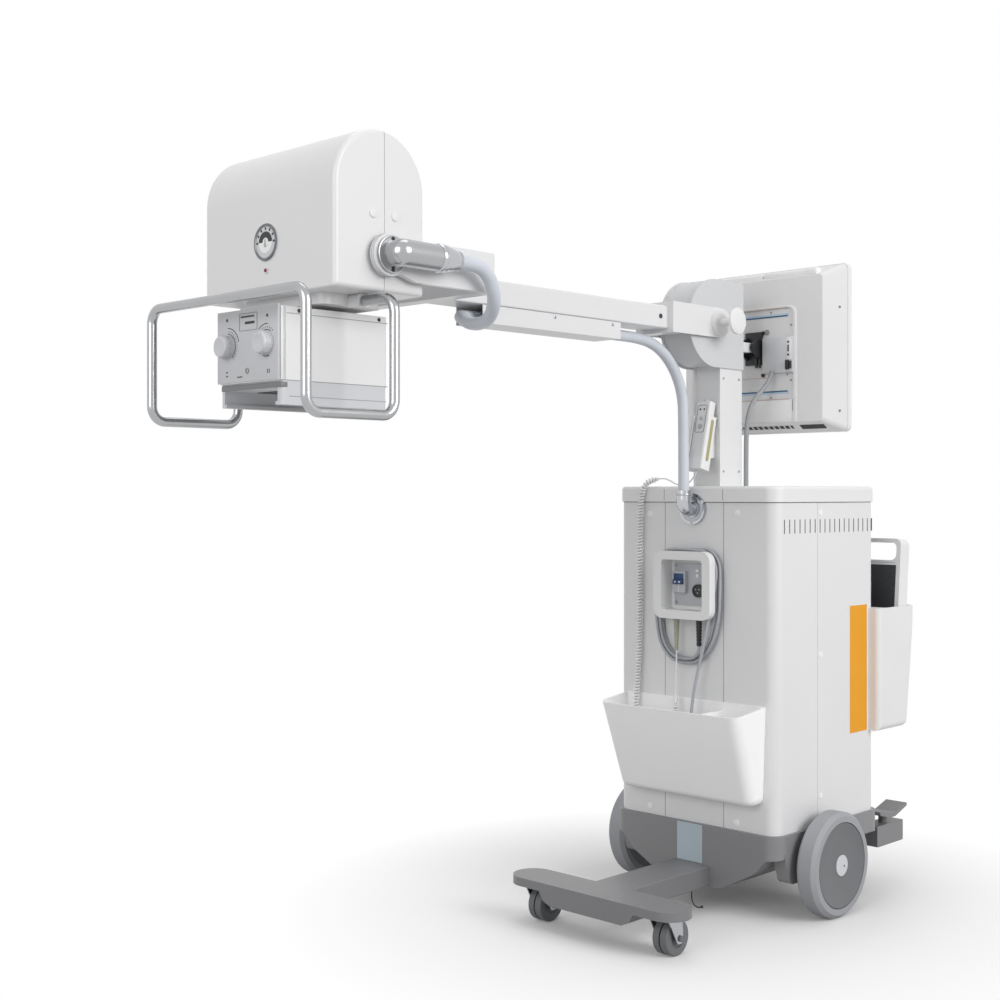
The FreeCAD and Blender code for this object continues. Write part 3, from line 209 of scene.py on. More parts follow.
def rubberFinish(name, slotName, colour, rough=0.72):
    # rubber with fine pits and pale dust in them
    made = Finish(name, slotName)
    pits = made.noise(420.0, 3.0)
    cloud = made.noise(14.0, 4.0)
    dusty = made.blend(made.ramp(cloud, 0.4, 0.75) * 0.4, colour, dimmed(colour, 1.18))
    tone = made.blend(made.ramp(pits, 0.55, 0.8) * 0.5, dusty, dimmed(colour, 0.82))
    return made.close(colour=tone, rough=made.ramp(cloud, 0.2, 0.8) * 0.12 + (rough - 0.06),
        normal=made.bump(pits, 0.22, 0.0006))


whitePaint = paintFinish("sprayedWhite", "white_paint", shade(226, 226, 227))
whiteCast = paintFinish("castHousingWhite", "white_cast", shade(226, 226, 227), 0.34, 0.09)
whitePlastic = plasticFinish("mouldedWhite", "white_plastic", shade(230, 230, 230))
# a whiter copy of the moulded white for the front bin: painted light, brighter for the light the
# bin catches
paintedLightBinWhite = plasticFinish("frontBinPaintedLight", "white_plastic", shade(251, 251, 251))
chassisGrey = paintFinish("chassisGrey", "chassis_grey", shade(134, 134, 136), 0.46, 0.10, 0.05)
outriggerGrey = paintFinish("outriggerGrey", "outrigger_grey", shade(124, 124, 126), 0.46, 0.10,
    0.05)
wheelGrey = plasticFinish("hubGrey", "wheel_grey", shade(108, 109, 112), 0.5)
tyreGrey = rubberFinish("tyreRubber", "tyre_grey", shade(158, 159, 163))
polished = metalFinish("chrome", "polished_metal", shade(190, 192, 196), 0.15, (4.0, 4.0, 12.0),
    0.0)
aluminium = metalFinish("polishedAluminium", "polished_aluminium", shade(176, 177, 179), 0.24,
    (4.0, 9.0, 4.0), 0.0)
steel = metalFinish("brightSteel", "steel", shade(166, 168, 172), 0.30, (6.0, 6.0, 30.0), 0.0)
darkDrum = paintFinish("drumGrey", "dark_drum", shade(206, 207, 209), 0.42, 0.08)
blackPlastic = plasticFinish("blackPlastic", "black_plastic", shade(34, 34, 37), 0.42)
greyPlastic = plasticFinish("greyPlastic", "grey_plastic", shade(186, 188, 192), 0.45)
rimGrey = plasticFinish("paleGreyPlastic", "grey_plastic", shade(206, 207, 210), 0.42)
hoseGrey = rubberFinish("hoseCover", "hose_grey", shade(204, 209, 217), 0.42)
cordGrey = rubberFinish("cordGrey", "cord_grey", shade(168, 171, 176), 0.48)
cordWhite = plasticFinish("cordWhite", "cord_white", shade(236, 236, 236), 0.4)
oliveGrey = rubberFinish("oliveGrey", "cord_grey", shade(166, 167, 150), 0.6)
leadGrey = rubberFinish("leadGrey", "hose_grey", shade(146, 147, 150), 0.45)
# dark grey for black screws and bolts, and also painted shade that fills the lid gap, the vent
# slots and the screen slots
darkPartsAndPaintedShade = plasticFinish("seamShadow", "black_plastic", shade(62, 63, 66), 0.7)
orangeStrip = plasticFinish("orangeStrip", "grey_plastic", shade(232, 158, 0), 0.55)


def carbonWeave():
    # dark woven panel under clear lacquer
    made = Finish("carbonWeave", "carbon_panel")
    check = made.node("TexChecker", {}, {"Vector": made.place, "Scale": 500.0,
        "Color1": shade(52, 53, 56), "Color2": shade(66, 67, 71)})
    cloud = made.noise(9.0)
    weave = made.noise(700.0)
    return made.close(colour=made.blend(made.ramp(cloud, 0.3, 0.8) * 0.3, check, shade(48, 49, 52)),
        rough=made.ramp(weave, 0.3, 0.7) * 0.12 + 0.22, normal=made.bump(weave, 0.08, 0.0004),
        coat=0.5, coatRough=0.08)


def screenGlass():
    # dark glass with a trace of wiping
    made = Finish("screenGlass", "screen_glass")
    smear = made.noise(1.0, 4.0, made.stretched((9.0, 9.0, 2.5)))
    return made.close(colour=made.blend(made.ramp(smear, 0.4, 0.7) * 0.4, shade(16, 18, 22),
        shade(24, 27, 32)), rough=made.ramp(smear, 0.35, 0.75) * 0.07 + 0.05, coat=0.6,
        coatRough=0.03)


def blockMass():
    made = Finish("paintedBlock", "block_mass")
    cloud = made.noise(20.0)
    return made.close(colour=made.blend(made.ramp(cloud, 0.3, 0.7), shade(96, 98, 102),
        shade(84, 86, 90)), rough=0.6, normal=made.bump(cloud, 0.1, 0.001))


slotFinishes = {slotOf[finish.name]: finish for finish in (
    whitePaint, whiteCast, whitePlastic, chassisGrey, outriggerGrey, wheelGrey, tyreGrey, polished,
    aluminium, steel, darkDrum, blackPlastic, greyPlastic, hoseGrey, cordGrey, cordWhite,
    screenGlass(), carbonWeave(), blockMass())}
# some solids are paler than their slots: knobs, rails and the detector's rim, and the front bin,
# whose extra whiteness is painted light for the brighter light it catches
ownFinishes = {"collimator_knobs": rimGrey, "detector": whitePlastic,
               "collimator_rails": rimGrey, "front_bin": paintedLightBinWhite}
for row in frame["record"]["subparts"]:
    solid = nodes[row["node"]].data
    solid.materials.clear()
    solid.materials.append(ownFinishes.get(row["node"], slotFinishes[row["material_slot"]]))
print("finishes set on", len(nodes), "solids")


# Shapes.

wayOf = {"X": Vector((1, 0, 0)), "Y": Vector((0, 1, 0)), "Z": Vector((0, 0, 1))}
sideOf = {"X": wayOf["Y"], "Y": wayOf["Z"], "Z": wayOf["X"]}


def across(axis, first, second, along):
    # a point from two values across an axis, in X, Y, Z order, and one along it
    return {"X": Vector((along, first, second)), "Y": Vector((first, along, second)),
        "Z": Vector((first, second, along))}[axis]


def sharpEdges(shape, angle=0.6):
    return [edge for edge in shape.edges
        if len(edge.link_faces) == 2 and edge.calc_face_angle(0.0) > angle]


def eased(shape, edges, radius, steps=2):
    bmesh.ops.bevel(shape, geom=edges, offset=radius, offset_type="OFFSET", segments=steps,
        profile=0.5, affect="EDGES", material=-1, clamp_overlap=True)
    return shape


def slab(low, high, edge=0.6, steps=2, corner=0.0, axis="Y", cornerSteps=6):
    # a block between two corner points, its edges softened, four of them rounded more
    shape = bmesh.new()
    bmesh.ops.create_cube(shape, size=1.0)
    low, high = Vector(low), Vector(high)
    bmesh.ops.scale(shape, vec=high - low, verts=shape.verts)
    bmesh.ops.translate(shape, vec=(low + high) / 2, verts=shape.verts)
    if corner:
        way = wayOf[axis]
        along = [one for one in shape.edges
            if abs((one.verts[0].co - one.verts[1].co).normalized().dot(way)) > 0.9]
        eased(shape, along, corner, cornerSteps)
    if edge:
        eased(shape, sharpEdges(shape), edge, steps)
    return shape


def onAxis(axis, centre, pairs, side):
    # (along, radius) pairs as points beside the line along an axis through centre
    base = Vector(centre) - wayOf[axis] * Vector(centre).dot(wayOf[axis])
    return base, [base + wayOf[axis] * along + side * radius for along, radius in pairs]


def turned(axis, centre, profile, steps=48, edge=0.0):
    # (along, radius) pairs spun round a line along an axis through centre
    shape = bmesh.new()
    base, points = onAxis(axis, centre, profile, sideOf[axis])
    dots = [shape.verts.new(point) for point in points]
    lines = [shape.edges.new(pair) for pair in zip(dots, dots[1:])]
    bmesh.ops.spin(shape, geom=dots + lines, cent=base, axis=wayOf[axis], dvec=(0, 0, 0),
        angle=2 * math.pi, steps=steps, use_merge=True, use_duplicate=False)
    bmesh.ops.remove_doubles(shape, verts=shape.verts, dist=0.002)
    bmesh.ops.recalc_face_normals(shape, faces=shape.faces)
    if edge:
        eased(shape, sharpEdges(shape), edge)
    return shape


def pushed(axis, corners, low, high, edge=0.0, steps=2):
    # an outline of (first, second) corners pushed along an axis
    shape = bmesh.new()
    face = shape.faces.new([shape.verts.new(across(axis, first, second, low))
        for first, second in corners])
    made = bmesh.ops.extrude_face_region(shape, geom=[face])
    moved = [one for one in made["geom"] if isinstance(one, bmesh.types.BMVert)]
    bmesh.ops.translate(shape, vec=wayOf[axis] * (high - low), verts=moved)
    bmesh.ops.recalc_face_normals(shape, faces=shape.faces)
    if edge:
        eased(shape, sharpEdges(shape), edge, steps)
    return shape


def sector(axis, centre, inner, outer, low, high, fromAngle, toAngle, steps=24):
    # part of a flat ring: a small rectangle spun through an angle
    shape = bmesh.new()
    side = Matrix.Rotation(math.radians(fromAngle), 3, wayOf[axis]) @ sideOf[axis]
    pairs = ((low, inner), (high, inner), (high, outer), (low, outer))
    base, points = onAxis(axis, centre, pairs, side)
    face = shape.faces.new([shape.verts.new(point) for point in points])
    bmesh.ops.spin(shape, geom=[face], cent=base, axis=wayOf[axis], dvec=(0, 0, 0),
        angle=math.radians(toAngle - fromAngle), steps=steps, use_merge=False, use_duplicate=False)
    bmesh.ops.remove_doubles(shape, verts=shape.verts, dist=0.002)
    bmesh.ops.recalc_face_normals(shape, faces=shape.faces)
    return shape


def swung(shape, axis, centre, degrees):
    bmesh.ops.rotate(shape, cent=Vector(centre), verts=shape.verts,
        matrix=Matrix.Rotation(math.radians(degrees), 3, axis))
    return shape


sharpAngle = 0.7  # radians, above which an edge is drawn sharp


def assembled(name, shapes, body, finish, stands=(), slotName=None):
    # joins the shapes, takes them to the row frame in metres and makes them one piece
    whole = bmesh.new()
    for shape in shapes:
        single = bpy.data.meshes.new(name)
        shape.to_mesh(single)
        shape.free()
        whole.from_mesh(single)
        bpy.data.meshes.remove(single)
    bmesh.ops.scale(whole, vec=(0.001, 0.001, 0.001), verts=whole.verts)
    bmesh.ops.translate(whole, vec=(0, frontShift / 1000, 0), verts=whole.verts)
    mesh = bpy.data.meshes.new(name)
    whole.to_mesh(mesh)
    whole.free()
    mesh.polygons.foreach_set("use_smooth", [True] * len(mesh.polygons))
    mesh.set_sharp_from_angle(angle=sharpAngle)
    return shownPiece(name, mesh, body, finish, stands, slotName)


def shownPiece(name, data, body, finish, stands=(), slotName=None):
    slotName = slotName or slotOf[finish.name]
    piece = placed(name, data)
    if not len(data.materials):
        data.materials.append(finish)
    if isinstance(body, str):
        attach(piece, body)
    else:
        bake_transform(piece)
    if stands:
        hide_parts(*stands)
    return piece


# Cords and hoses.


def splineData(name, route, radius, resolution=12, rounding=6):
    # one open NURBS spline through given control points
    data = bpy.data.curves.new(name, "CURVE")
    data.dimensions = "3D"
    spline = data.splines.new("NURBS")
    spline.points.add(len(route) - 1)
    for point, (x, y, z) in zip(spline.points, route):
        point.co = at(x, y, z).to_4d()
    spline.order_u = 3
    spline.use_endpoint_u = True
    spline.use_smooth = True
    data.resolution_u = resolution
    data.bevel_depth = radius / 1000
    data.bevel_resolution = rounding
    data.use_fill_caps = True
    return data


def sweptMesh(name, data):
    # the mesh of a curve, which is then done with
    holder = placed(name, data)
    bpy.context.view_layer.update()
    mesh = bpy.data.meshes.new_from_object(holder)
    bpy.data.objects.remove(holder)
    bpy.data.curves.remove(data)
    return mesh


def linePoints(route):
    # the points of the route's own spline, in metres
    data = splineData("routeLine", route, 0)
    data.use_fill_caps = False
    mesh = sweptMesh("routeLine", data)
    points = [vertex.co.copy() for vertex in mesh.vertices]
    bpy.data.meshes.remove(mesh)
    return points


def hosePiece(name, route, radius, body, finish, stands):
    # a hose or lead as a mesh swept along its spline
    mesh = sweptMesh(name + "Line", splineData(name, route, radius))
    mesh.name = name
    mesh.polygons.foreach_set("use_smooth", [True] * len(mesh.polygons))
    mesh.materials.clear()
    return shownPiece(name, mesh, body, finish, stands)


hoseRoutes = {
    "loop": [(241, -1036, 1428), (241, -1004, 1428), (241, -972, 1424), (239, -946, 1404),
             (231, -928, 1374), (204, -905, 1351), (162, -879, 1340), (113, -852, 1340),
             (64, -830, 1347), (26, -813, 1361), (0, -796, 1371), (0, -762, 1371)],
    "drop": [(0, -330, 1371), (0, -272, 1371), (0, -222, 1370), (0, -170, 1364),
             (0, -124, 1345), (0, -88, 1316), (0, -62, 1281), (0, -47, 1243),
             (0, -41.5, 1200), (0, -41.5, 1012)],
    "screenLead": [(62, 244, 1316), (62, 236, 1296), (59, 216, 1274), (54, 190, 1252),
                   (50, 168, 1226), (47, 158, 1192), (46, 154.5, 1150), (46, 153.5, 1090),
                   (46, 153.5, 1024)]}
hosePiece("headHoseLoop", hoseRoutes["loop"], 13, ("arm", "head_yoke", at(30, -815, 1360),
    at(241, -990, 1426)), hoseGrey, ["hose_loop"])
hosePiece("armHoseDrop", hoseRoutes["drop"], 13, ("base", "arm", at(0, 0, 1265), at(0, -150, 1350)),
    hoseGrey, ["hose_drop"])
hosePiece("screenLead", hoseRoutes["screenLead"], 6, ("base", "monitor", at(47, 158, 1200),
    at(62, 244, 1310)), leadGrey, ["monitor_cable"])

# The mains cord: round the socket box's neck in four turns, then down into the bin.
mainsCord = {
    "radius": 3.75,
    "start": [(34.5, -26, 640), (34.5, -26, 630.5), (26, -25, 615.8), (11.3, -23.5, 607.3)],
    # x, z on the inside of the coil, and the way outwards there
    "stations": [(-16, 606, 0.0, -1.0), (-50, 610, -0.5, -0.9), (-80, 640, -0.9, -0.5),
                 (-91, 692, -1.0, -0.1), (-92, 750, -1.0, 0.0), (-91, 806, -1.0, 0.0),
                 (-88, 838, -0.95, 0.35), (-68, 860, -0.35, 0.95), (-40, 862, 0.0, 1.0),
                 (-8, 862, 0.0, 1.0), (24, 862, 0.0, 1.0), (54, 861, 0.35, 0.95),
                 (74, 840, 0.95, 0.35), (76, 808, 1.0, 0.0), (76, 765, 1.0, 0.0),
                 (74, 715, 1.0, -0.1), (63, 665, 0.9, -0.4), (42, 628, 0.75, -0.65),
                 (14, 608, 0.3, -0.95)],
    # for each turn and station: the distance outwards and the depth y
    "outwards": [[1] * 19,
                 [1] * 14 + [3, 7, 9, 10, 10],
                 [10, 11, 11, 10, 10, 10, 9, 9, 9, 9, 10, 11, 11, 12, 13, 13, 11, 10, 11],
                 [12, 12, 11, 10, 9, 9, 10, 10, 10, 10, 9]],
    "depths": [[-20.5, -18, -16.6, -16.4] + [-16.4] * 12 + [-16.0, -13.0, -9.0],
               [-7.6] * 19,
               [-7.6] * 11 + [-9.5, -11.5, -14, -16.4, -16.4, -16.4, -16.4, -16.4],
               [-16.4, -16.4, -17, -18, -19, -20.5, -21.8, -23, -24, -25.2, -25.2]],
    "tail": [(52, -25.4, 869), (78, -25.4, 850), (86, -25.4, 820), (81, -25.4, 786),
             (73, -25.4, 753), (68, -26.5, 718), (62, -31, 690), (55, -31.5, 655), (43, -34, 602),
             (32, -38, 550), (25, -42, 498), (23, -43, 450), (28, -38, 408), (34, -27, 376),
             (34, -27, 350)]}


def mainsRoute(given):
    route = list(given["start"])
    for outwards, depths in zip(given["outwards"], given["depths"]):
        for (x, z, wayX, wayZ), out, depth in zip(given["stations"], outwards, depths):
            route.append((x + wayX * out, depth, z + wayZ * out))
    return route + given["tail"]


mainsPoints = mainsRoute(mainsCord)
mainsData = splineData("mainsCord", mainsPoints, mainsCord["radius"], 6, 4)
mainsLine = linePoints(mainsPoints)
mainsPiece = shownPiece("mainsCord", mainsData, "base", cordGrey, ["mains_coil", "mains_tail"])


def ribbedSleeve(centre, low, high, wide, narrow, ribs, foot=0.0):
    # a tapered sleeve with grooves round it, wide at the top
    x, y = centre
    profile = [(high, 0.0), (high, wide)]
    body = high - low - foot
    pitch = body / (ribs + 1)
    for index in range(ribs):
        z = high - pitch * (index + 0.7)
        share = (high - z) / body
        radius = wide + (narrow - wide) * share
        profile += [(z, radius), (z - pitch * 0.12, radius * 0.80),
            (z - pitch * 0.42, radius * 0.79), (z - pitch * 0.5, radius * 0.99)]
    profile += [(low + foot, narrow), (low, narrow * 0.8), (low, 0.0)]
    return turned("Z", (x, y, 0), profile, 32)


reliefPiece = assembled("mainsRelief", [ribbedSleeve((34.5, -26), 639.5, 704, 8.2, 6.2, 7, 3)],
    "base", blackPlastic, ["mains_relief"])
mainsPlug = {"top": 352.0, "x": 34.0, "y": -27.0, "length": 56.0}


def plugShapes(given):
    x, y, top = given["x"], given["y"], given["top"]
    foot = top - given["length"]
    body = turned("Z", (x, y, 0), [(foot, 0), (foot, 15), (foot + 3, 17), (foot + 12, 17),
        (foot + 15, 15.6), (foot + 32, 14.6), (foot + 38, 10), (foot + 41, 6.6), (top - 1, 5.2),
        (top, 0)], 40)
    grips = [swung(slab((x + 14.2, y - 1.2, foot + 15), (x + 16.2, y + 1.2, foot + 31), 0.5), "Z",
        (x, y, 0), 30 * turn) for turn in range(12)]
    return [body] + grips


plugPiece = assembled("mainsPlugBody", plugShapes(mainsPlug), "base", blackPlastic, ["mains_plug"])
at(34.5, -26, 640)

# The hand switch's lead: a thin lead, a curly cord over the lid's edge, a thin lead again.
curlyCord = {"outer": 8.0, "wire": 2.7, "pitch": 7.6, "perTurn": 12}
curlyRoute = [(-30.2, -33, 497), (-30.2, -33, 460), (-44, -44, 420), (-68, -52, 388),
    (-98, -52, 376), (-127, -45, 388), (-149, -33, 420), (-161, -23, 460), (-165, -17, 505),
    (-163, -14, 560), (-160, -13, 625), (-158, -13, 700), (-158, -13, 780), (-158, -13, 860),
    (-157, -13, 930), (-154, -13.5, 985), (-148, -13, 1020), (-134, -7, 1041), (-110, 3, 1044)]


def helixPoints(line, given):
    # turns laid round the points of the route's spline, drawn in to the line at both ends
    radius = (given["outer"] - given["wire"]) / 1000
    step = given["pitch"] / given["perTurn"] / 1000
    total = sum((b - a).length for a, b in zip(line, line[1:]))
    made, travelled, target, turn = [], 0.0, 0.0, 0.0
    side = Vector((1, 0, 0))
    for before, after in zip(line, line[1:]):
        way = (after - before)
        length = way.length
        way.normalize()
        side = (side - way * side.dot(way)).normalized()
        while target <= travelled + length:
            here = before + way * (target - travelled)
            ends = min(1.0, target / 0.012, (total - target) / 0.012)
            reach = radius * max(0.05, ends)
            angle = 2 * math.pi * turn / given["perTurn"]
            made.append(here + side * math.cos(angle) * reach + way.cross(side) * math.sin(angle)
                * reach)
            turn += 1.0
            target += step
        travelled += length
    return made


def curlyData(given):
    points = helixPoints(linePoints(curlyRoute), given)
    data = splineData("switchCurlyCord", [(0, 0, 0)] * len(points), given["wire"], 2, 2)
    for slot, point in zip(data.splines[0].points, points):
        slot.co = point.to_4d()
    return data


shownPiece("switchCurlyCord", curlyData(curlyCord), "base", cordWhite, ["curly_cord"])
hosePiece("handSwitchLead", [(-112, 2.5, 1044), (-98, 8, 1045.5), (-82, 11, 1040), (-66, 12, 1031),
    (-48, 11, 1028), (-30, 8, 1030), (-14, 5, 1037), (-2, 1.5, 1047), (7, 0, 1058), (7, 4, 1068)],
    1.75, "base", cordWhite, ["switch_lead"])
hosePiece("switchPlugLead", [(-30.2, -30, 627), (-30.2, -30, 585), (-30.2, -33, 550),
    (-30.2, -33, 512)], 1.75, "base", cordWhite, ["plug_lead"])
assembled("switchPlugSleeve", [ribbedSleeve((-30.2, -30), 625.5, 704, 8, 4.6, 8, 3)], "base",
    oliveGrey, ["switch_plug"])
assembled("curlyCordBoot", [ribbedSleeve((-30.2, -33), 497, 515, 5.2, 7, 3, 1)], "base", cordWhite,
    ["curl_boot"])
print("cords and hoses laid")

# More shapes.


def ringPlate(low, high, corner, rim, edge=0.0, steps=2):
    # a rounded frame that faces along Y, open in the middle
    shape = slab(low, high, 0.0, 1, corner, "Y", 8)
    ends = [face for face in shape.faces if abs(face.normal.y) > 0.99]
    for face in ends:
        bmesh.ops.inset_region(shape, faces=[face], thickness=rim, depth=0.0, use_even_offset=True)
    loops = list({line for face in ends for line in face.edges})
    bmesh.ops.delete(shape, geom=ends, context="FACES_ONLY")
    bmesh.ops.bridge_loops(shape, edges=loops)
    bmesh.ops.recalc_face_normals(shape, faces=shape.faces)
    if edge:
        eased(shape, sharpEdges(shape), edge, steps)
    return shape


def band(axis, centre, start, end, inner, outer, edge=0.3, steps=48):
    # a collar with a square section round an axis
    return turned(axis, centre, [(start, inner), (start, outer), (end, outer), (end, inner),
        (start, inner)], steps, edge)


def dome(axis, centre, seat, height, radius, steps=28):
    # a flat-topped button that stands on a face; a negative height points down the axis
    return turned(axis, centre, [(seat, 0), (seat, radius), (seat + height * 0.55, radius),
        (seat + height * 0.85, radius * 0.93), (seat + height, radius * 0.74), (seat + height, 0)],
        steps)


def socketHead(axis, centre, seat, height, radius):
    # a screw head with a hollow for its key
    return turned(axis, centre, [(seat, 0), (seat, radius), (seat + height * 0.7, radius),
        (seat + height, radius * 0.82), (seat + height, radius * 0.48),
        (seat + height * 0.3, radius * 0.44), (seat + height * 0.3, 0)], 20)


def dot(axis, centre, seat, height, radius):
    # a low flat dot
    return turned(axis, centre, [(seat, 0), (seat, radius), (seat + height, radius * 0.9),
        (seat + height, 0)], 20)


def grid(firsts, seconds):
    # each of the first values with each of the second
    return [(first, second) for first in firsts for second in seconds]


def onFace(make, places, seat, height, radius):
    # caps, heads or dots at (x, z) places on a face across Y
    return [make("Y", (x, 0, z), seat, height, radius) for x, z in places]


def onSides(make, places, seat, height, radius):
    # the same at (y, z) places on the left and the right side
    return [make("X", (0, *place), side * seat, side * height, radius) for side in (-1, 1)
        for place in places]


panelGrey = plasticFinish("panelGrey", "grey_plastic", shade(200, 201, 204), 0.5)
khakiFelt = rubberFinish("khakiFelt", "grey_plastic", shade(168, 162, 116), 0.85)
navyPlastic = plasticFinish("navyPlastic", "grey_plastic", shade(28, 62, 108), 0.35)
lampRed = plasticFinish("lampRed", "grey_plastic", shade(140, 24, 44), 0.25)
pearl = plasticFinish("pearlWhite", "white_plastic", shade(240, 240, 240), 0.3)
blueLine = plasticFinish("blueLine", "grey_plastic", shade(44, 92, 124), 0.5)
paleBlue = plasticFinish("paleBlue", "white_plastic", shade(190, 212, 232), 0.5)
paleOrange = plasticFinish("paleOrange", "grey_plastic", shade(214, 186, 172), 0.5)
plateBlue = plasticFinish("plateBlue", "grey_plastic", shade(176, 190, 198), 0.35)
ventGrey = plasticFinish("ventGrey", "grey_plastic", shade(150, 151, 154), 0.8)
dialGrey = plasticFinish("dialGrey", "grey_plastic", shade(206, 208, 210), 0.35)

# Tube housing: tilt dial, lamp, caps.

housingFront = -1283.0
housingRear = -1072.0
dial = {"z": 1461.0, "face": housingFront, "dashes": 7, "dashRadius": 24.8}


def dialShapes(given):
    y, z = given["face"], given["z"]
    centre = (0, 0, z)
    ring = turned("Y", centre, [(y, 28.6), (y - 1.4, 28.6), (y - 2.4, 30), (y - 2.2, 33), (y, 34.2),
        (y, 28.6)], 64)
    face = turned("Y", centre, [(y, 0), (y, 28.8), (y - 0.5, 28.8), (y - 0.5, 0)], 64)
    black = [sector("Y", centre, 8.6, 19.4, y - 1.0, y - 0.3, -90, 90)]
    for index in range(given["dashes"]):
        mark = slab((-1.9, y - 0.9, z + given["dashRadius"] - 2.6),
            (1.9, y - 0.3, z + given["dashRadius"] + 2.6), 0.2, 1)
        black.append(swung(mark, "Y", centre, -90 + 180 / (given["dashes"] - 1) * index))
    pale = [sector("Y", centre, 8.6, 19.4, y - 0.8, y - 0.3, 90, 270),
        dot("Y", centre, y - 0.3, -0.9, 8.5)]
    pointer = [pushed("Y", [(-0.8, z + 6), (0.8, z + 6), (2.8, z - 6), (0, z - 9.5), (-2.8, z - 6)],
        y - 2.0, y - 1.3, 0.2)]
    return ring, face, black, pale, pointer


dialRing, dialFace, dialBlack, dialPale, dialPointer = dialShapes(dial)
dialSteel = metalFinish("dialSteel", "steel", shade(120, 122, 126), 0.3, (6.0, 6.0, 30.0), 0.0)
assembled("dialRing", [dialRing], "tube_head", dialSteel)
assembled("dialFace", [dialFace], "tube_head", dialGrey)
assembled("dialMarks", dialBlack, "tube_head", blackPlastic)
assembled("dialCentre", dialPale, "tube_head", pearl)
assembled("dialPointer", dialPointer, "tube_head", steel)
assembled("readyLamp", [dome("Y", (0, 0, 1410), housingFront, -2.2, 3.4)], "tube_head", lampRed)
assembled("housingCaps", onSides(dome, [(-1194, 1500), (-1143, 1500)], 193, 2.4, 8.2), "tube_head",
    whitePlastic)
assembled("housingRearScrews", onFace(socketHead, grid((-150, 150), (1400, 1560)), housingRear, 1.6,
    4.5), "tube_head", steel)
assembled("coolingLouvres", [slab((-90, housingRear - 0.4, 1440 + 11 * row),
    (90, housingRear + 1.2, 1444 + 11 * row), 0.7, 2, 1.9, "Y") for row in range(9)], "tube_head",
    ventGrey)

# trunnions: fine rings on the bosses, the elbow's flange bolts and collars
trunnion = (0, -1167.5, 1428.0)


def trunnionRings(centre):
    made = []
    for side in (-1, 1):
        for x in (201.5, 206.0):
            low, high = sorted((side * x, side * (x + 0.9)))
            made.append(band("X", centre, low, high, 37.2, 38.25, 0.0, 72))
    return made


assembled("trunnionRings", trunnionRings(trunnion), "head_yoke", ventGrey)
flangeRim = [band("X", trunnion, 213.0, 216.9, 29.5, 33.2, 0.8, 72)]
assembled("elbowFlangeRim", flangeRim, "head_yoke", aluminium)
flangeBolts = [socketHead("X", (0, trunnion[1], trunnion[2] + 27.5 * way), 216.4, 1.8, 3.6)
    for way in (-1, 1)]
assembled("flangeBolts", flangeBolts, "head_yoke", darkPartsAndPaintedShade)
leftCover = turned("X", trunnion, [(-211.4, 0), (-211.4, 31), (-214, 31), (-216.5, 28.5),
    (-217.5, 22), (-217.8, 0)], 64)
assembled("leftTrunnionCover", [leftCover], "head_yoke", rimGrey)
elbowCollar = turned("Y", (241, 0, trunnion[2]), [(-1088, 20), (-1088, 25.0), (-1086, 26.2),
    (-1081, 26.2), (-1079.5, 24.2), (-1077, 24.0), (-1075.5, 25.6), (-1070.5, 25.6), (-1069, 23.9),
    (-1060, 23.2), (-1047, 20.8), (-1038, 18.0), (-1033.5, 16.4), (-1032.5, 14.6), (-1032.5, 12.0),
    (-1088, 12.0), (-1088, 20)], 56)
assembled("elbowCollar", [elbowCollar], "head_yoke", polished)

# Collimator.

collimator = {"front": -1322.0, "half": 91.0, "low": 1206.5, "top": 1336.5, "tall": 1339.0,
              "knobX": 58.0, "knobZ": 1272.0}


def collimatorPanel(given):
    y, half = given["front"], given["half"] - 0.4
    outline = [(-half, given["low"]), (half, given["low"]), (half, given["tall"]),
        (-18.5, given["tall"]), (-21.5, given["top"]), (-half, given["top"])]
    return pushed("Y", outline, y - 2.2, y + 3.0, 0.7)


def knobShapes(given):
    y = given["front"]
    made = []
    for side in (-1, 1):
        centre = (side * given["knobX"], 0, given["knobZ"])
        made.append(turned("Y", centre, [(y - 2.0, 0), (y - 2.0, 21.0), (y - 5.0, 21.0),
            (y - 5.6, 20.2), (y - 18.0, 19.6), (y - 20.6, 18.6), (y - 21.8, 16.2), (y - 22.0, 13.5),
            (y - 21.4, 12.6), (y - 21.4, 0)], 56))
        for index in range(32):
            rib = slab((centre[0] - 0.7, y - 16.5, centre[2] + 19.0), (centre[0] + 0.7, y - 4.0,
                centre[2] + 20.9), 0.3, 1)
            made.append(swung(rib, "Y", centre, 360 / 32 * index))
    return made


def scaleMarks(given):
    # arcs and ticks round the two knobs, then dots and words as bars
    y = given["front"] - 2.2
    left, right = [(side * given["knobX"], 0, given["knobZ"]) for side in (-1, 1)]
    arcs = ((left, 33.4, 0, 76), (left, 22.8, 0, 146), (right, 33.4, -42, 6),
        (right, 22.8, -20, 30), (right, 22.8, 160, 205))
    made = [sector("Y", centre, inner, inner + 1.4, y - 0.35, y, first, last)
        for centre, inner, first, last in arcs]
    for centre, first, last, count in ((left, 8, 140, 13), (right, -38, 40, 8)):
        x, z = centre[0], centre[2]
        for index in range(count):
            mark = slab((x - 0.5, y - 0.3, z + 26.4), (x + 0.5, y, z + 29.6), 0.0)
            made.append(swung(mark, "Y", centre, first + (last - first) / (count - 1) * index))
    made += onFace(dot, [(-60.8, 1320.8), (60, 1320.5)], y, -0.4, 3.0)
    made.append(dot("Y", (18.7, 0, 1283.5), y, -0.3, 1.6))
    made.append(slab((-18.5, y - 0.5, 1321.6), (22.0, y, 1324.6), 0.2, 1, 1.2, "Y"))
    made.append(slab((-6.0, y - 0.5, 1309.6), (23.0, y, 1314.2), 0.2, 1, 1.6, "Y"))
    bars = ((-29, -14, 1215.0, 1217.0), (-63.3, -58.3, 1225.0, 1227.2),
        (-63.3, -58.3, 1218.0, 1220.2), (60.0, 62.0, 1218.5, 1226.0), (65.0, 67.0, 1218.5, 1226.0))
    return made + [slab((start, y - 0.3, low), (end, y, high), 0.0)
        for start, end, low, high in bars]


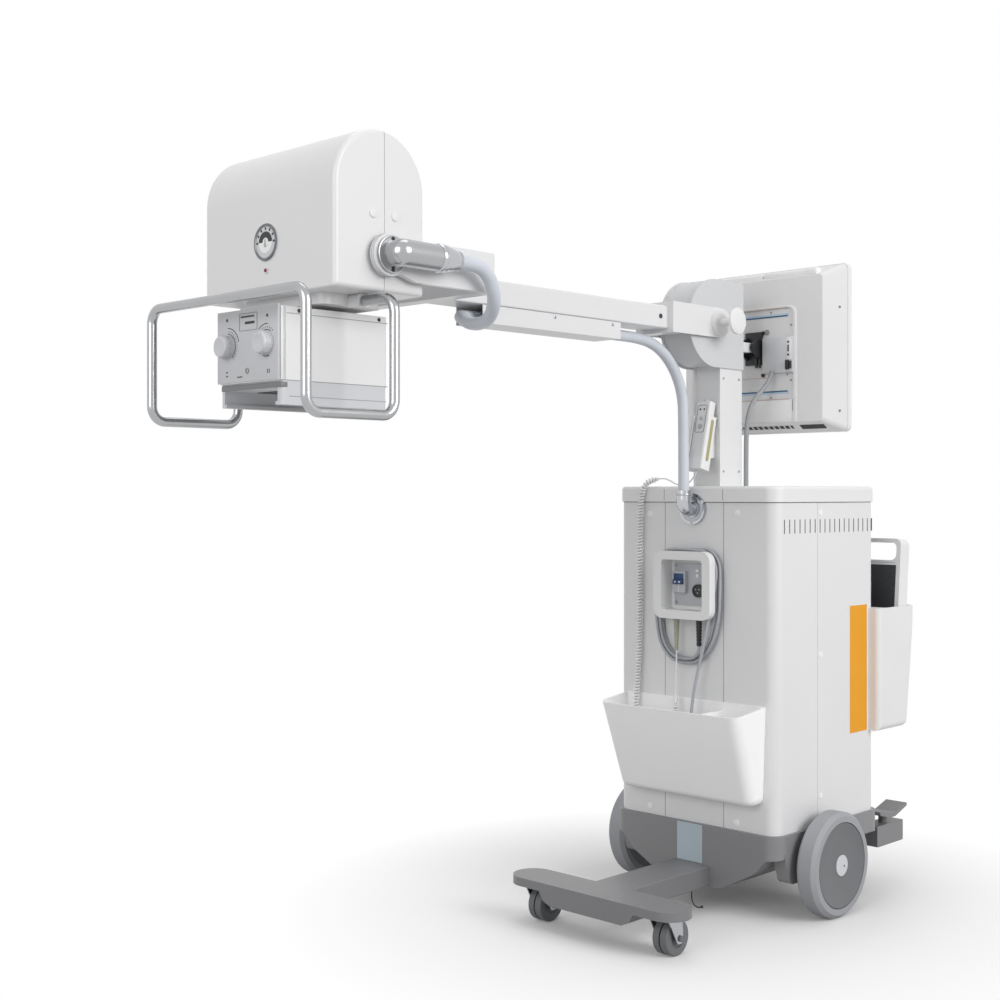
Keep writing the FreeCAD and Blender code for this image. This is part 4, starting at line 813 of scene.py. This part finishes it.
assembled("collimatorPanel", [collimatorPanel(collimator)], "collimator", panelGrey)
assembled("collimatorKnobs", knobShapes(collimator), "collimator", rimGrey, ["collimator_knobs"])
assembled("collimatorMarks", scaleMarks(collimator), "collimator", blackPlastic)
assembled("collimatorWindow", [ringPlate((-22.5, -1325.0, 1298.0), (31.0, -1324.0, 1329.5), 2.0,
    0.9), band("Y", (1.3, 0, 1226), -1325.6, -1324.0, 3.2, 5.2, 0.3, 28)], "collimator", ventGrey)
railShade = plasticFinish("railShade", "grey_plastic", shade(124, 125, 127), 0.5)
assembled("railFront", [slab((-88, -1317.3, 1193), (91.2, -1303, 1203), 0.8)], "collimator",
    railShade)


def collimatorSkin(given):
    # square shoulders behind the panel
    y, half = given["front"], given["half"]
    return slab((-half, y + 4.0, given["low"] - 1), (half, y + 16.0, given["top"] - 0.5), 0.8)


def sideLines():
    # fine lines along both sides, and one down each shoulder
    made = []
    for side in (-1, 1):
        low, high = sorted((side * 90.4, side * 91.25))
        made += [slab((low, -1305.0, 1323.4), (high, -1070.0, 1324.6), 0.0),
            slab((low, -1316.5, 1205.2), (high, -1070.5, 1206.6), 0.0),
            slab((low, -1299.0, 1177.4), (high, -1074.0, 1178.5), 0.0), slab((low, -1319.4, 1207.0),
            (high - side * 0.5, -1318.6, 1335.0), 0.0)]
    return made


assembled("collimatorSkin", [collimatorSkin(collimator)], "collimator", whitePlastic)
assembled("collimatorLines", sideLines(), "collimator", ventGrey)
assembled("collimatorScrews", onSides(socketHead, [(-1278, 1329.5), (-1092, 1329.5)], 91, 1.4, 3.6),
    "collimator", blackPlastic)
assembled("collimatorBeamWindow", [slab((-60, -1260, 1192.0), (60, -1130, 1193.4), 0.4, 1, 4, "Z"),
    ringPlate((-66, -1070.4, 1222), (66, -1067.6, 1318), 8, 3, 0.6)], "collimator", darkPartsAndPaintedShade)
print("head and collimator dressed")

# The screen's back: a cover with an arched opening, and what sits in it.


def rounded(cx, cz, radius, fromAngle, toAngle, steps=6):
    # points of an arc in the X-Z plane, angles from the X axis towards Z
    angles = [math.radians(fromAngle + (toAngle - fromAngle) * i / steps) for i in range(steps + 1)]
    return [(cx + radius * math.cos(angle), cz + radius * math.sin(angle)) for angle in angles]


def arch(half, foot, top, corner):
    # an upside-down U, from its left foot over the top to its right foot
    return ([(-half, foot)] + rounded(-half + corner, top - corner, corner, 180, 90)
        + rounded(half - corner, top - corner, corner, 90, 0) + [(half, foot)])


screenBack = {"plane": 258.0, "floor": 262.0, "foot": 1189.0, "top": 1549.0, "half": 198.5,
              "openHalf": 117.0, "openTop": 1476.0}
bayFloor = 262.2  # y of what sits in the opening


def screenCover(given):
    edge = arch(given["openHalf"], given["foot"], given["openTop"], 16)
    outline = ([(-given["half"], given["foot"]), (-given["half"], given["top"]),
        (given["half"], given["top"]), (given["half"], given["foot"])] + edge[::-1])
    return pushed("Y", outline, given["plane"] - 0.5, given["floor"] + 0.3)


def screenRidge(given):
    outer = arch(given["openHalf"] + 9, given["foot"] - 1, given["openTop"] + 4.5, 20)
    inner = arch(given["openHalf"], given["foot"] - 1, given["openTop"], 16)
    return pushed("Y", outer + inner[::-1], given["plane"] - 2.4, given["floor"], 0.7)


def leaning(low, high):
    # a block laid on the slope under the screen's back
    return swung(slab(low, high, 0.0, 1), "X", (0, 277, 1175.4), -31)


gripBar = [slab((-183, 262.5, 1553), (20, 277, 1567), 3.0, 3),
    slab((24, 262.5, 1553), (152, 277, 1567), 3.0, 3),
    slab((150, 259, 1549), (185, 281, 1569.5), 6.0, 4)]
assembled("screenCover", [screenCover(screenBack)], "monitor", whitePlastic)
assembled("screenRidge", [screenRidge(screenBack)] + gripBar
    + [slab((-112, 257.4, 1190), (112, bayFloor, 1244), 0.8)], "monitor", pearl)
assembled("screenBlueLines", [slab((-99, 261.0, z - 1.6), (97, bayFloor, z + 1.6), 0.2, 1)
    for z in (1456, 1266)], "monitor", blueLine)
assembled("screenPaleLines", [slab((-99, 261.3, low), (99, bayFloor, low + 4.4), 0.2, 1)
    for low in (1457.8, 1259.6)], "monitor", paleBlue)
assembled("screenFineLines", [slab((-100, 255.4, 1477.4), (100, 256.0, 1478.8), 0.0),
    slab((-104, 261.0, 1245.2), (100, bayFloor, 1246.8), 0.0),
    slab((-104, 261.4, 1301.4), (37, bayFloor, 1302.8), 0.0)], "monitor", paleOrange)
assembled("graphicsBox", [slab((30, 247.5, 1312.5), (100.5, bayFloor, 1402), 1.6),
    slab((100, 248.6, 1312.5), (118.5, bayFloor, 1403.5), 1.0)], "monitor", rimGrey)
assembled("graphicsPorts", [slab((102.2, 247.6, 1344), (116.4, 249.0, 1401), 0.5)], "monitor",
    pearl)
assembled("graphicsPlugs", [slab((100.5, 242.5, 1319), (110.0, 249.2, 1343), 1.4),
    slab((111.0, 244.0, 1321), (116.8, 249.2, 1340), 1.2),
    *onFace(dot, [(107.5, 1388), (107.5, 1356)], 247.8, -0.9, 3.1),
    slab((105.4, 246.9, 1364), (109.6, 247.8, 1381), 0.3),
    *onFace(dome, [(25, 1417), (24, 1309)], bayFloor, -5.0, 5.0)], "monitor", blackPlastic)
fixings = ((36, 1418, 7), (48, 1467, 2.2), (107, 1432, 2.4), (107, 1293, 2.4), (48, 1251, 2.2),
    (47, 1306, 2.2), (96, 1308, 2.2), (-48, 1467, 2.2), (-107, 1432, 2.4), (-107, 1293, 2.4))
assembled("screenFixings", [dome("Y", (x, 0, z), bayFloor, -3.2, wide) for x, z, wide in fixings]
    + onFace(dome, grid((-231, 231), (1212, 1468)), 289.5, -5.6, 3.6), "monitor", ventGrey)
# dark slabs under the slot ribs: painted shade for the insides of the slots
assembled("screenSlotShade", [leaning((-104, 271, 1174.6), (104, 283, 1176.2)),
    leaning((126, 269, 1174.6), (196, 287, 1176.4))], "monitor", darkPartsAndPaintedShade)
assembled("screenSlotRibs", [leaning((x - 1.6, 270.5, 1173.6), (x + 1.6, 283.5, 1175.6))
    for x in range(-96, 97, 16)], "monitor", whitePlastic)
assembled("hingeStraps", [slab((low, 251.5, 1328), (low + 7, 257.0, 1400), 2.4, 3)
    for low in (4.5, 14.5)], "monitor", blackPlastic)
assembled("hingeBoss",
    [turned("X", (0, 226, 1378), [(-24, 0), (-24, 9.6), (-21.6, 9.6), (-20.4, 8.4), (-20.4, 3.2),
    (-21.8, 2.8), (-21.8, 0)], 32)], "monitor", steel)
screenKeys = [(150 + 14 * index, 1170.5) for index in range(5)]
assembled("screenFrontKeys", onFace(dome, screenKeys, 313.6, 1.2, 2.6), "monitor", ventGrey)
print("screen back dressed")

# The cabinet: ruled bands, covers of its screws, vents with painted shade in their slots, strips,
# and a dark strip of painted shade under the lid.
bandX = 88.0


def cabinetLines():
    return [slab((side * bandX - 0.7, front, low), (side * bandX + 0.7, rear, high), 0.0)
        for front, rear, low, high in ((-0.25, 0.3, 209, 985), (-4.3, -3.8, 990, 1018))
        for side in (-1, 1)]


# dark slabs in the vent slots on both sides: painted shade for the slots' insides
def ventFills():
    made = []
    for side in (-1, 1):
        low, high = sorted((side * 232.5, side * 235.9))
        for index in range(19):
            y = 34.5 + 22.03 * index
            made.append(slab((low, y - 1.8, 913), (high, y + 1.8, 945), 0.0))
    return made


capRadius = 8.0
frontCaps = [(127, 961), (-136, 956), (-136, 226), (125, 224)]
sideCaps = [(192, 275.5), (192, 617), (192, 961)]
rearCaps = grid((-190, 190), (240, 960))
assembled("cabinetLines", cabinetLines(), "base", ventGrey)
assembled("ventShadows", ventFills(), "base", darkPartsAndPaintedShade)
assembled("cabinetCaps", onFace(dome, frontCaps, 0.2, -1.4, capRadius)
    + onSides(dome, sideCaps, 236.3, 1.4, capRadius)
    + onFace(dome, rearCaps, 448.3, 1.4, capRadius), "base", pearl)
assembled("orangeStrips", [slab((low, 325, 411), (high, 406, 728), 0.3, 1)
    for low, high in ((236.2, 237.1), (-237.1, -236.2))], "base", orangeStrip)
assembled("ratingPlate", [slab((-43, -11.0, 113), (32, -9.6, 205), 0.3, 1)], "base", plateBlue)
# a dark strip under the lid's overhang: painted shade where the lid's edge throws its shadow
assembled("lidPaintedShade", [slab((-237.2, -0.7, 985.4), (237.2, 449.2, 987.3), 0.0, 1, 30.7, "Z", 10)],
    "base", darkPartsAndPaintedShade)

# The socket box's fittings, and the gland's rings.
assembled("breakerToggle", [slab((-44.8, -28.0, 786.4), (-16.2, -20.6, 797.6), 1.0),
    slab((-44.8, -23.0, 797.0), (-16.2, -20.6, 812.0), 0.6)], "base", navyPlastic)
assembled("breakerDots", onFace(dot, [(-37, 792), (-24, 792)], -27.8, -0.6, 2.4)
    + [slab((-31.2, -21.4, 767.5), (-29.8, -20.6, 785.5), 0.0)]
    + onFace(dome, [(19, 807.5), (19, 820)], -9.0, -4.6, 4.6), "base", pearl)
assembled("inletSocket",
    [turned("Y", (22, 0, 771.7), [(-8.8, 0), (-8.8, 15.8), (-16.4, 15.8), (-17.2, 15.0),
    (-17.2, 11.6), (-15.4, 10.8), (-15.4, 0)], 48)], "base", blackPlastic)
assembled("inletPins", onFace(dot, [(17, 774.7), (27, 774.7), (22, 766.2)], -15.2, -1.2, 1.7)
    + onFace(socketHead, grid((-46, 46), (741, 831)), -9.0, -1.6, 3.0), "base", steel)
assembled("glandRings", [band("Y", (0, 0, 970), -11.4, -9.6, 20, 31.5, 0.6, 64),
    band("Z", (0, -41.5, 0), 1002.5, 1006.5, 12, 18.7, 0.8, 56),
    band("Z", (0, -41.5, 0), 1009.5, 1014.5, 12, 16.9, 0.8, 56)], "base", steel,
    slotName="polished_metal")
assembled("glandScrews", [socketHead("Y", (34.6 * math.cos(turn), 0, 970 + 34.6 * math.sin(turn)),
    -10.0, -1.3, 2.4) for turn in (0.5, 2.64, 4.71)], "base", steel)

# The detector's woven panel in its rim, and the hand switch's keys, all in their tilted places.


def inHolder(shape):
    return swung(shape, "X", (0, 539, 412), -5)


def onSwitch(shape):
    home = (7.0, 17.34, 1060.0)
    bmesh.ops.translate(shape, vec=home, verts=shape.verts)
    return swung(shape, "X", home, -14.0)


assembled("detectorPanel", [inHolder(slab((-248.6, 495.6, 423.4), (248.6, 497.3, 820.6), 0.3, 1))],
    "base", slotFinishes["carbon_panel"])
assembled("detectorGripSeam", [inHolder(slab((-244, 494.9, 826.2), (244, 495.4, 827.4), 0.0))],
    "base", ventGrey)
keyFace = -29.3
assembled("handSwitchPanel", [onSwitch(ringPlate((-14, -30.2, 92), (14, keyFace, 162), 6, 1.4))],
    "base", ventGrey)
assembled("handSwitchKeys", [onSwitch(dome("Y", (0, 0, 108), keyFace, -2.4, 6.5)),
    onSwitch(dome("Y", (0, 0, 128), keyFace, -1.8, 5.0)),
    onSwitch(dome("Z", (0, -17.5, 0), 170.8, 7.0, 8.0))], "base", greyPlastic)
assembled("handSwitchDots", [onSwitch(dot("Y", (x, 0, 151), keyFace, -0.8, 2.6)) for x in (-6, 6)],
    "base", blackPlastic)
felts = (((-22.2, -29.9, 5.2), (22.2, -29.6, 30.0)), ((-22.3, -29.0, 31), (-22.05, -6, 134.5)),
    ((22.05, -29.0, 31), (22.3, -6, 134.5)))
assembled("cradleFelt", [onSwitch(slab(low, high, 0.0)) for low, high in felts], "base", khakiFelt)
assembled("cradleStrips", [onSwitch(slab((low, -24, 22), (high, -13, 126), 0.5, 1, 4.0, "X"))
    for low, high in ((27.2, 28.2), (-28.2, -27.2))], "base", khakiFelt)
rearPanel = [slab((-168, 448.2, 742), (168, 450.2, 952), 0.6, 2, 12, "Y")]
rearLouvres = [slab((-150, 449.6, 778 + 14 * row), (150, 450.9, 783 + 14 * row), 0.6, 1, 2.4, "Y")
    for row in range(11)]
assembled("rearPanel", rearPanel, "base", whitePaint)
assembled("rearLouvres", rearLouvres, "base", ventGrey)
assembled("rearPanelScrews", onFace(socketHead, grid((-156, 156), (754, 940)), 450.0, 1.6, 4.0),
    "base", steel)
print("cabinet dressed")

# Screws of the arm, column and drum.
beamSide = 39.5
columnSide = 39.9
armScrews = [(-738, 1386), (-356, 1386), (-548, 1386)]
assembled("armScrews", onSides(socketHead, armScrews, beamSide, 1.6, 3.4), "arm", steel)
assembled("beamEndScrews", onSides(socketHead, [(-182, 1421)], beamSide, 2.4, 5.6), "arm", darkPartsAndPaintedShade)
assembled("armSeam", [slab((low, -766, 1393.4), (high, -328, 1394.8), 0.0)
    for low, high in ((39.4, 39.9), (-39.9, -39.4))], "arm", ventGrey)
assembled("columnScrews", onSides(socketHead, grid((66, 130), (1062, 1290)), columnSide, 1.5, 3.2),
    "base", steel)
assembled("lockKnobFaces",
    [turned("X", (0, 28, 1421.5), [(111.8, 0), (111.8, 27.5), (112.5, 27), (112.9, 25.5),
    (112.9, 0)], 48)], "arm", whitePlastic)

# The wheels' hubs, each with a bright cap.
hub = {"centre": (0, 165.8, 125.0), "inner": 260.4, "disc": 309.7, "rim": 102.0}


def hubProfile(given, side):
    inner, disc, rim = given["inner"], given["disc"], given["rim"]
    pairs = [(inner, 0), (inner, 30), (inner + 3, 36), (inner + 3, 92), (inner, 98),
        (inner, rim + 0.3), (disc - 4, rim + 0.3), (disc - 4, rim - 1.8), (disc + 0.6, rim - 1.8),
        (disc + 1.3, rim - 2.6), (disc + 1.3, rim - 4.4), (disc + 0.2, rim - 6.0), (disc - 0.8, 28),
        (disc - 0.8, 0)]
    return [(side * along, radius) for along, radius in pairs]


for side, word in ((-1, "left"), (1, "right")):
    assembled(word + "HubDisc", [turned("X", hub["centre"], hubProfile(hub, side), 96)],
        word + "_wheel", wheelGrey, [word + "_hub"])
    assembled(word + "HubCap",
        [turned("X", hub["centre"], [(side * 308, 0), (side * 308, 25), (side * 310.6, 25),
        (side * 311.3, 24.2), (side * 311.4, 10), (side * 311.4, 0)], 64)], word + "_wheel",
        rimGrey, slotName="white_plastic")
    assembled(word + "HubScrew", [dot("X", (0, 174.5, 123), side * 311.2, side * 0.35, 2.8)],
        word + "_wheel", darkPartsAndPaintedShade)
print("machine dressed")

# Camera, floor and light.

viewSet = {"place": (2140.6, -2868.1, 1005.2), "turn": 44.33, "lens": 52.37, "shiftY": -0.0056}


def makeCamera(given):
    data = bpy.data.cameras.new("photoCamera")
    data.lens = given["lens"]
    data.sensor_width = 36.0
    data.shift_y = given["shiftY"]
    data.clip_start = 0.05
    data.clip_end = 60.0
    camera = placed("photoCamera", data)
    camera.location = at(*given["place"])
    camera.rotation_euler = (math.pi / 2, 0, math.radians(given["turn"]))
    bpy.context.scene.camera = camera


makeCamera(viewSet)


def floorFinish():
    made = Finish("paleFloor")
    cloud = made.noise(1.5)
    pale = made.blend(cloud * 0.2, (0.90, 0.90, 0.90, 1), (0.88, 0.88, 0.88, 1))
    matt = made.node("BsdfPrincipled", {}, {"Base Color": pale, "Roughness": 0.9,
        "Specular IOR Level": 0.1})
    seen = made.anyRay("Is Camera Ray", "Is Glossy Ray")
    reach = made.node("VectorMath", {"operation": "DISTANCE"}, {0: made.place, 1: (0.0, 0.45, 0.0)},
        1)
    far = made.ramp(reach, 0.42, 1.05)
    glow = made.node("Emission", {}, {"Color": (1, 1, 1, 1), "Strength": 1.0})
    shown = made.node("MixShader", {}, {0: far * 0.95 + 0.05, 1: matt, 2: glow})
    bounce = made.node("BsdfPrincipled", {}, {"Base Color": (0.46, 0.46, 0.46, 1), "Roughness": 0.9,
        "Specular IOR Level": 0.1})
    made.intoOutput(made.node("MixShader", {}, {0: seen, 1: bounce, 2: shown}))
    return made.material


def makeFloor():
    shape = bmesh.new()
    bmesh.ops.create_grid(shape, x_segments=2, y_segments=2, size=14.0)
    mesh = bpy.data.meshes.new("studioFloor")
    shape.to_mesh(mesh)
    shape.free()
    mesh.materials.append(floorFinish())
    floor = placed("studioFloor", mesh)


makeFloor()


def makeWorld(room, backdrop):
    # what lights the machine, and what the camera and the metals see
    world = bpy.data.worlds.new("paleRoom")
    bpy.context.scene.world = world
    made = Nodes(world)
    seen = made.anyRay("Is Camera Ray", "Is Glossy Ray", "Is Transmission Ray")
    near, far = [made.node("Background", {}, {"Color": (1, 1, 1, 1), "Strength": level})
        for level in (room, backdrop)]
    made.intoOutput(made.node("MixShader", {}, {0: seen, 1: near, 2: far}), "OutputWorld")


makeWorld(0.52, 1.0)


def makeLamp(name, place, target, size, power):
    data = bpy.data.lights.new(name, "AREA")
    data.size = size
    data.energy = power
    lamp = placed(name, data)
    lamp.location = place
    way = Vector(target) - Vector(place)
    lamp.rotation_euler = way.to_track_quat("-Z", "Y").to_euler()


makeLamp("rightSoftbox", (5.0, 0.6, 2.9), (0, 0, 0.9), 3.0, 158.0)
makeLamp("frontSoftbox", (0.6, -5.2, 2.6), (0, 0, 0.9), 3.0, 84.0)
makeLamp("topSoftbox", (-0.5, 0.4, 5.2), (0, 0, 0.9), 2.4, 26.0)
scene = bpy.context.scene
scene.view_settings.view_transform = "Standard"
print("camera, floor and light made")
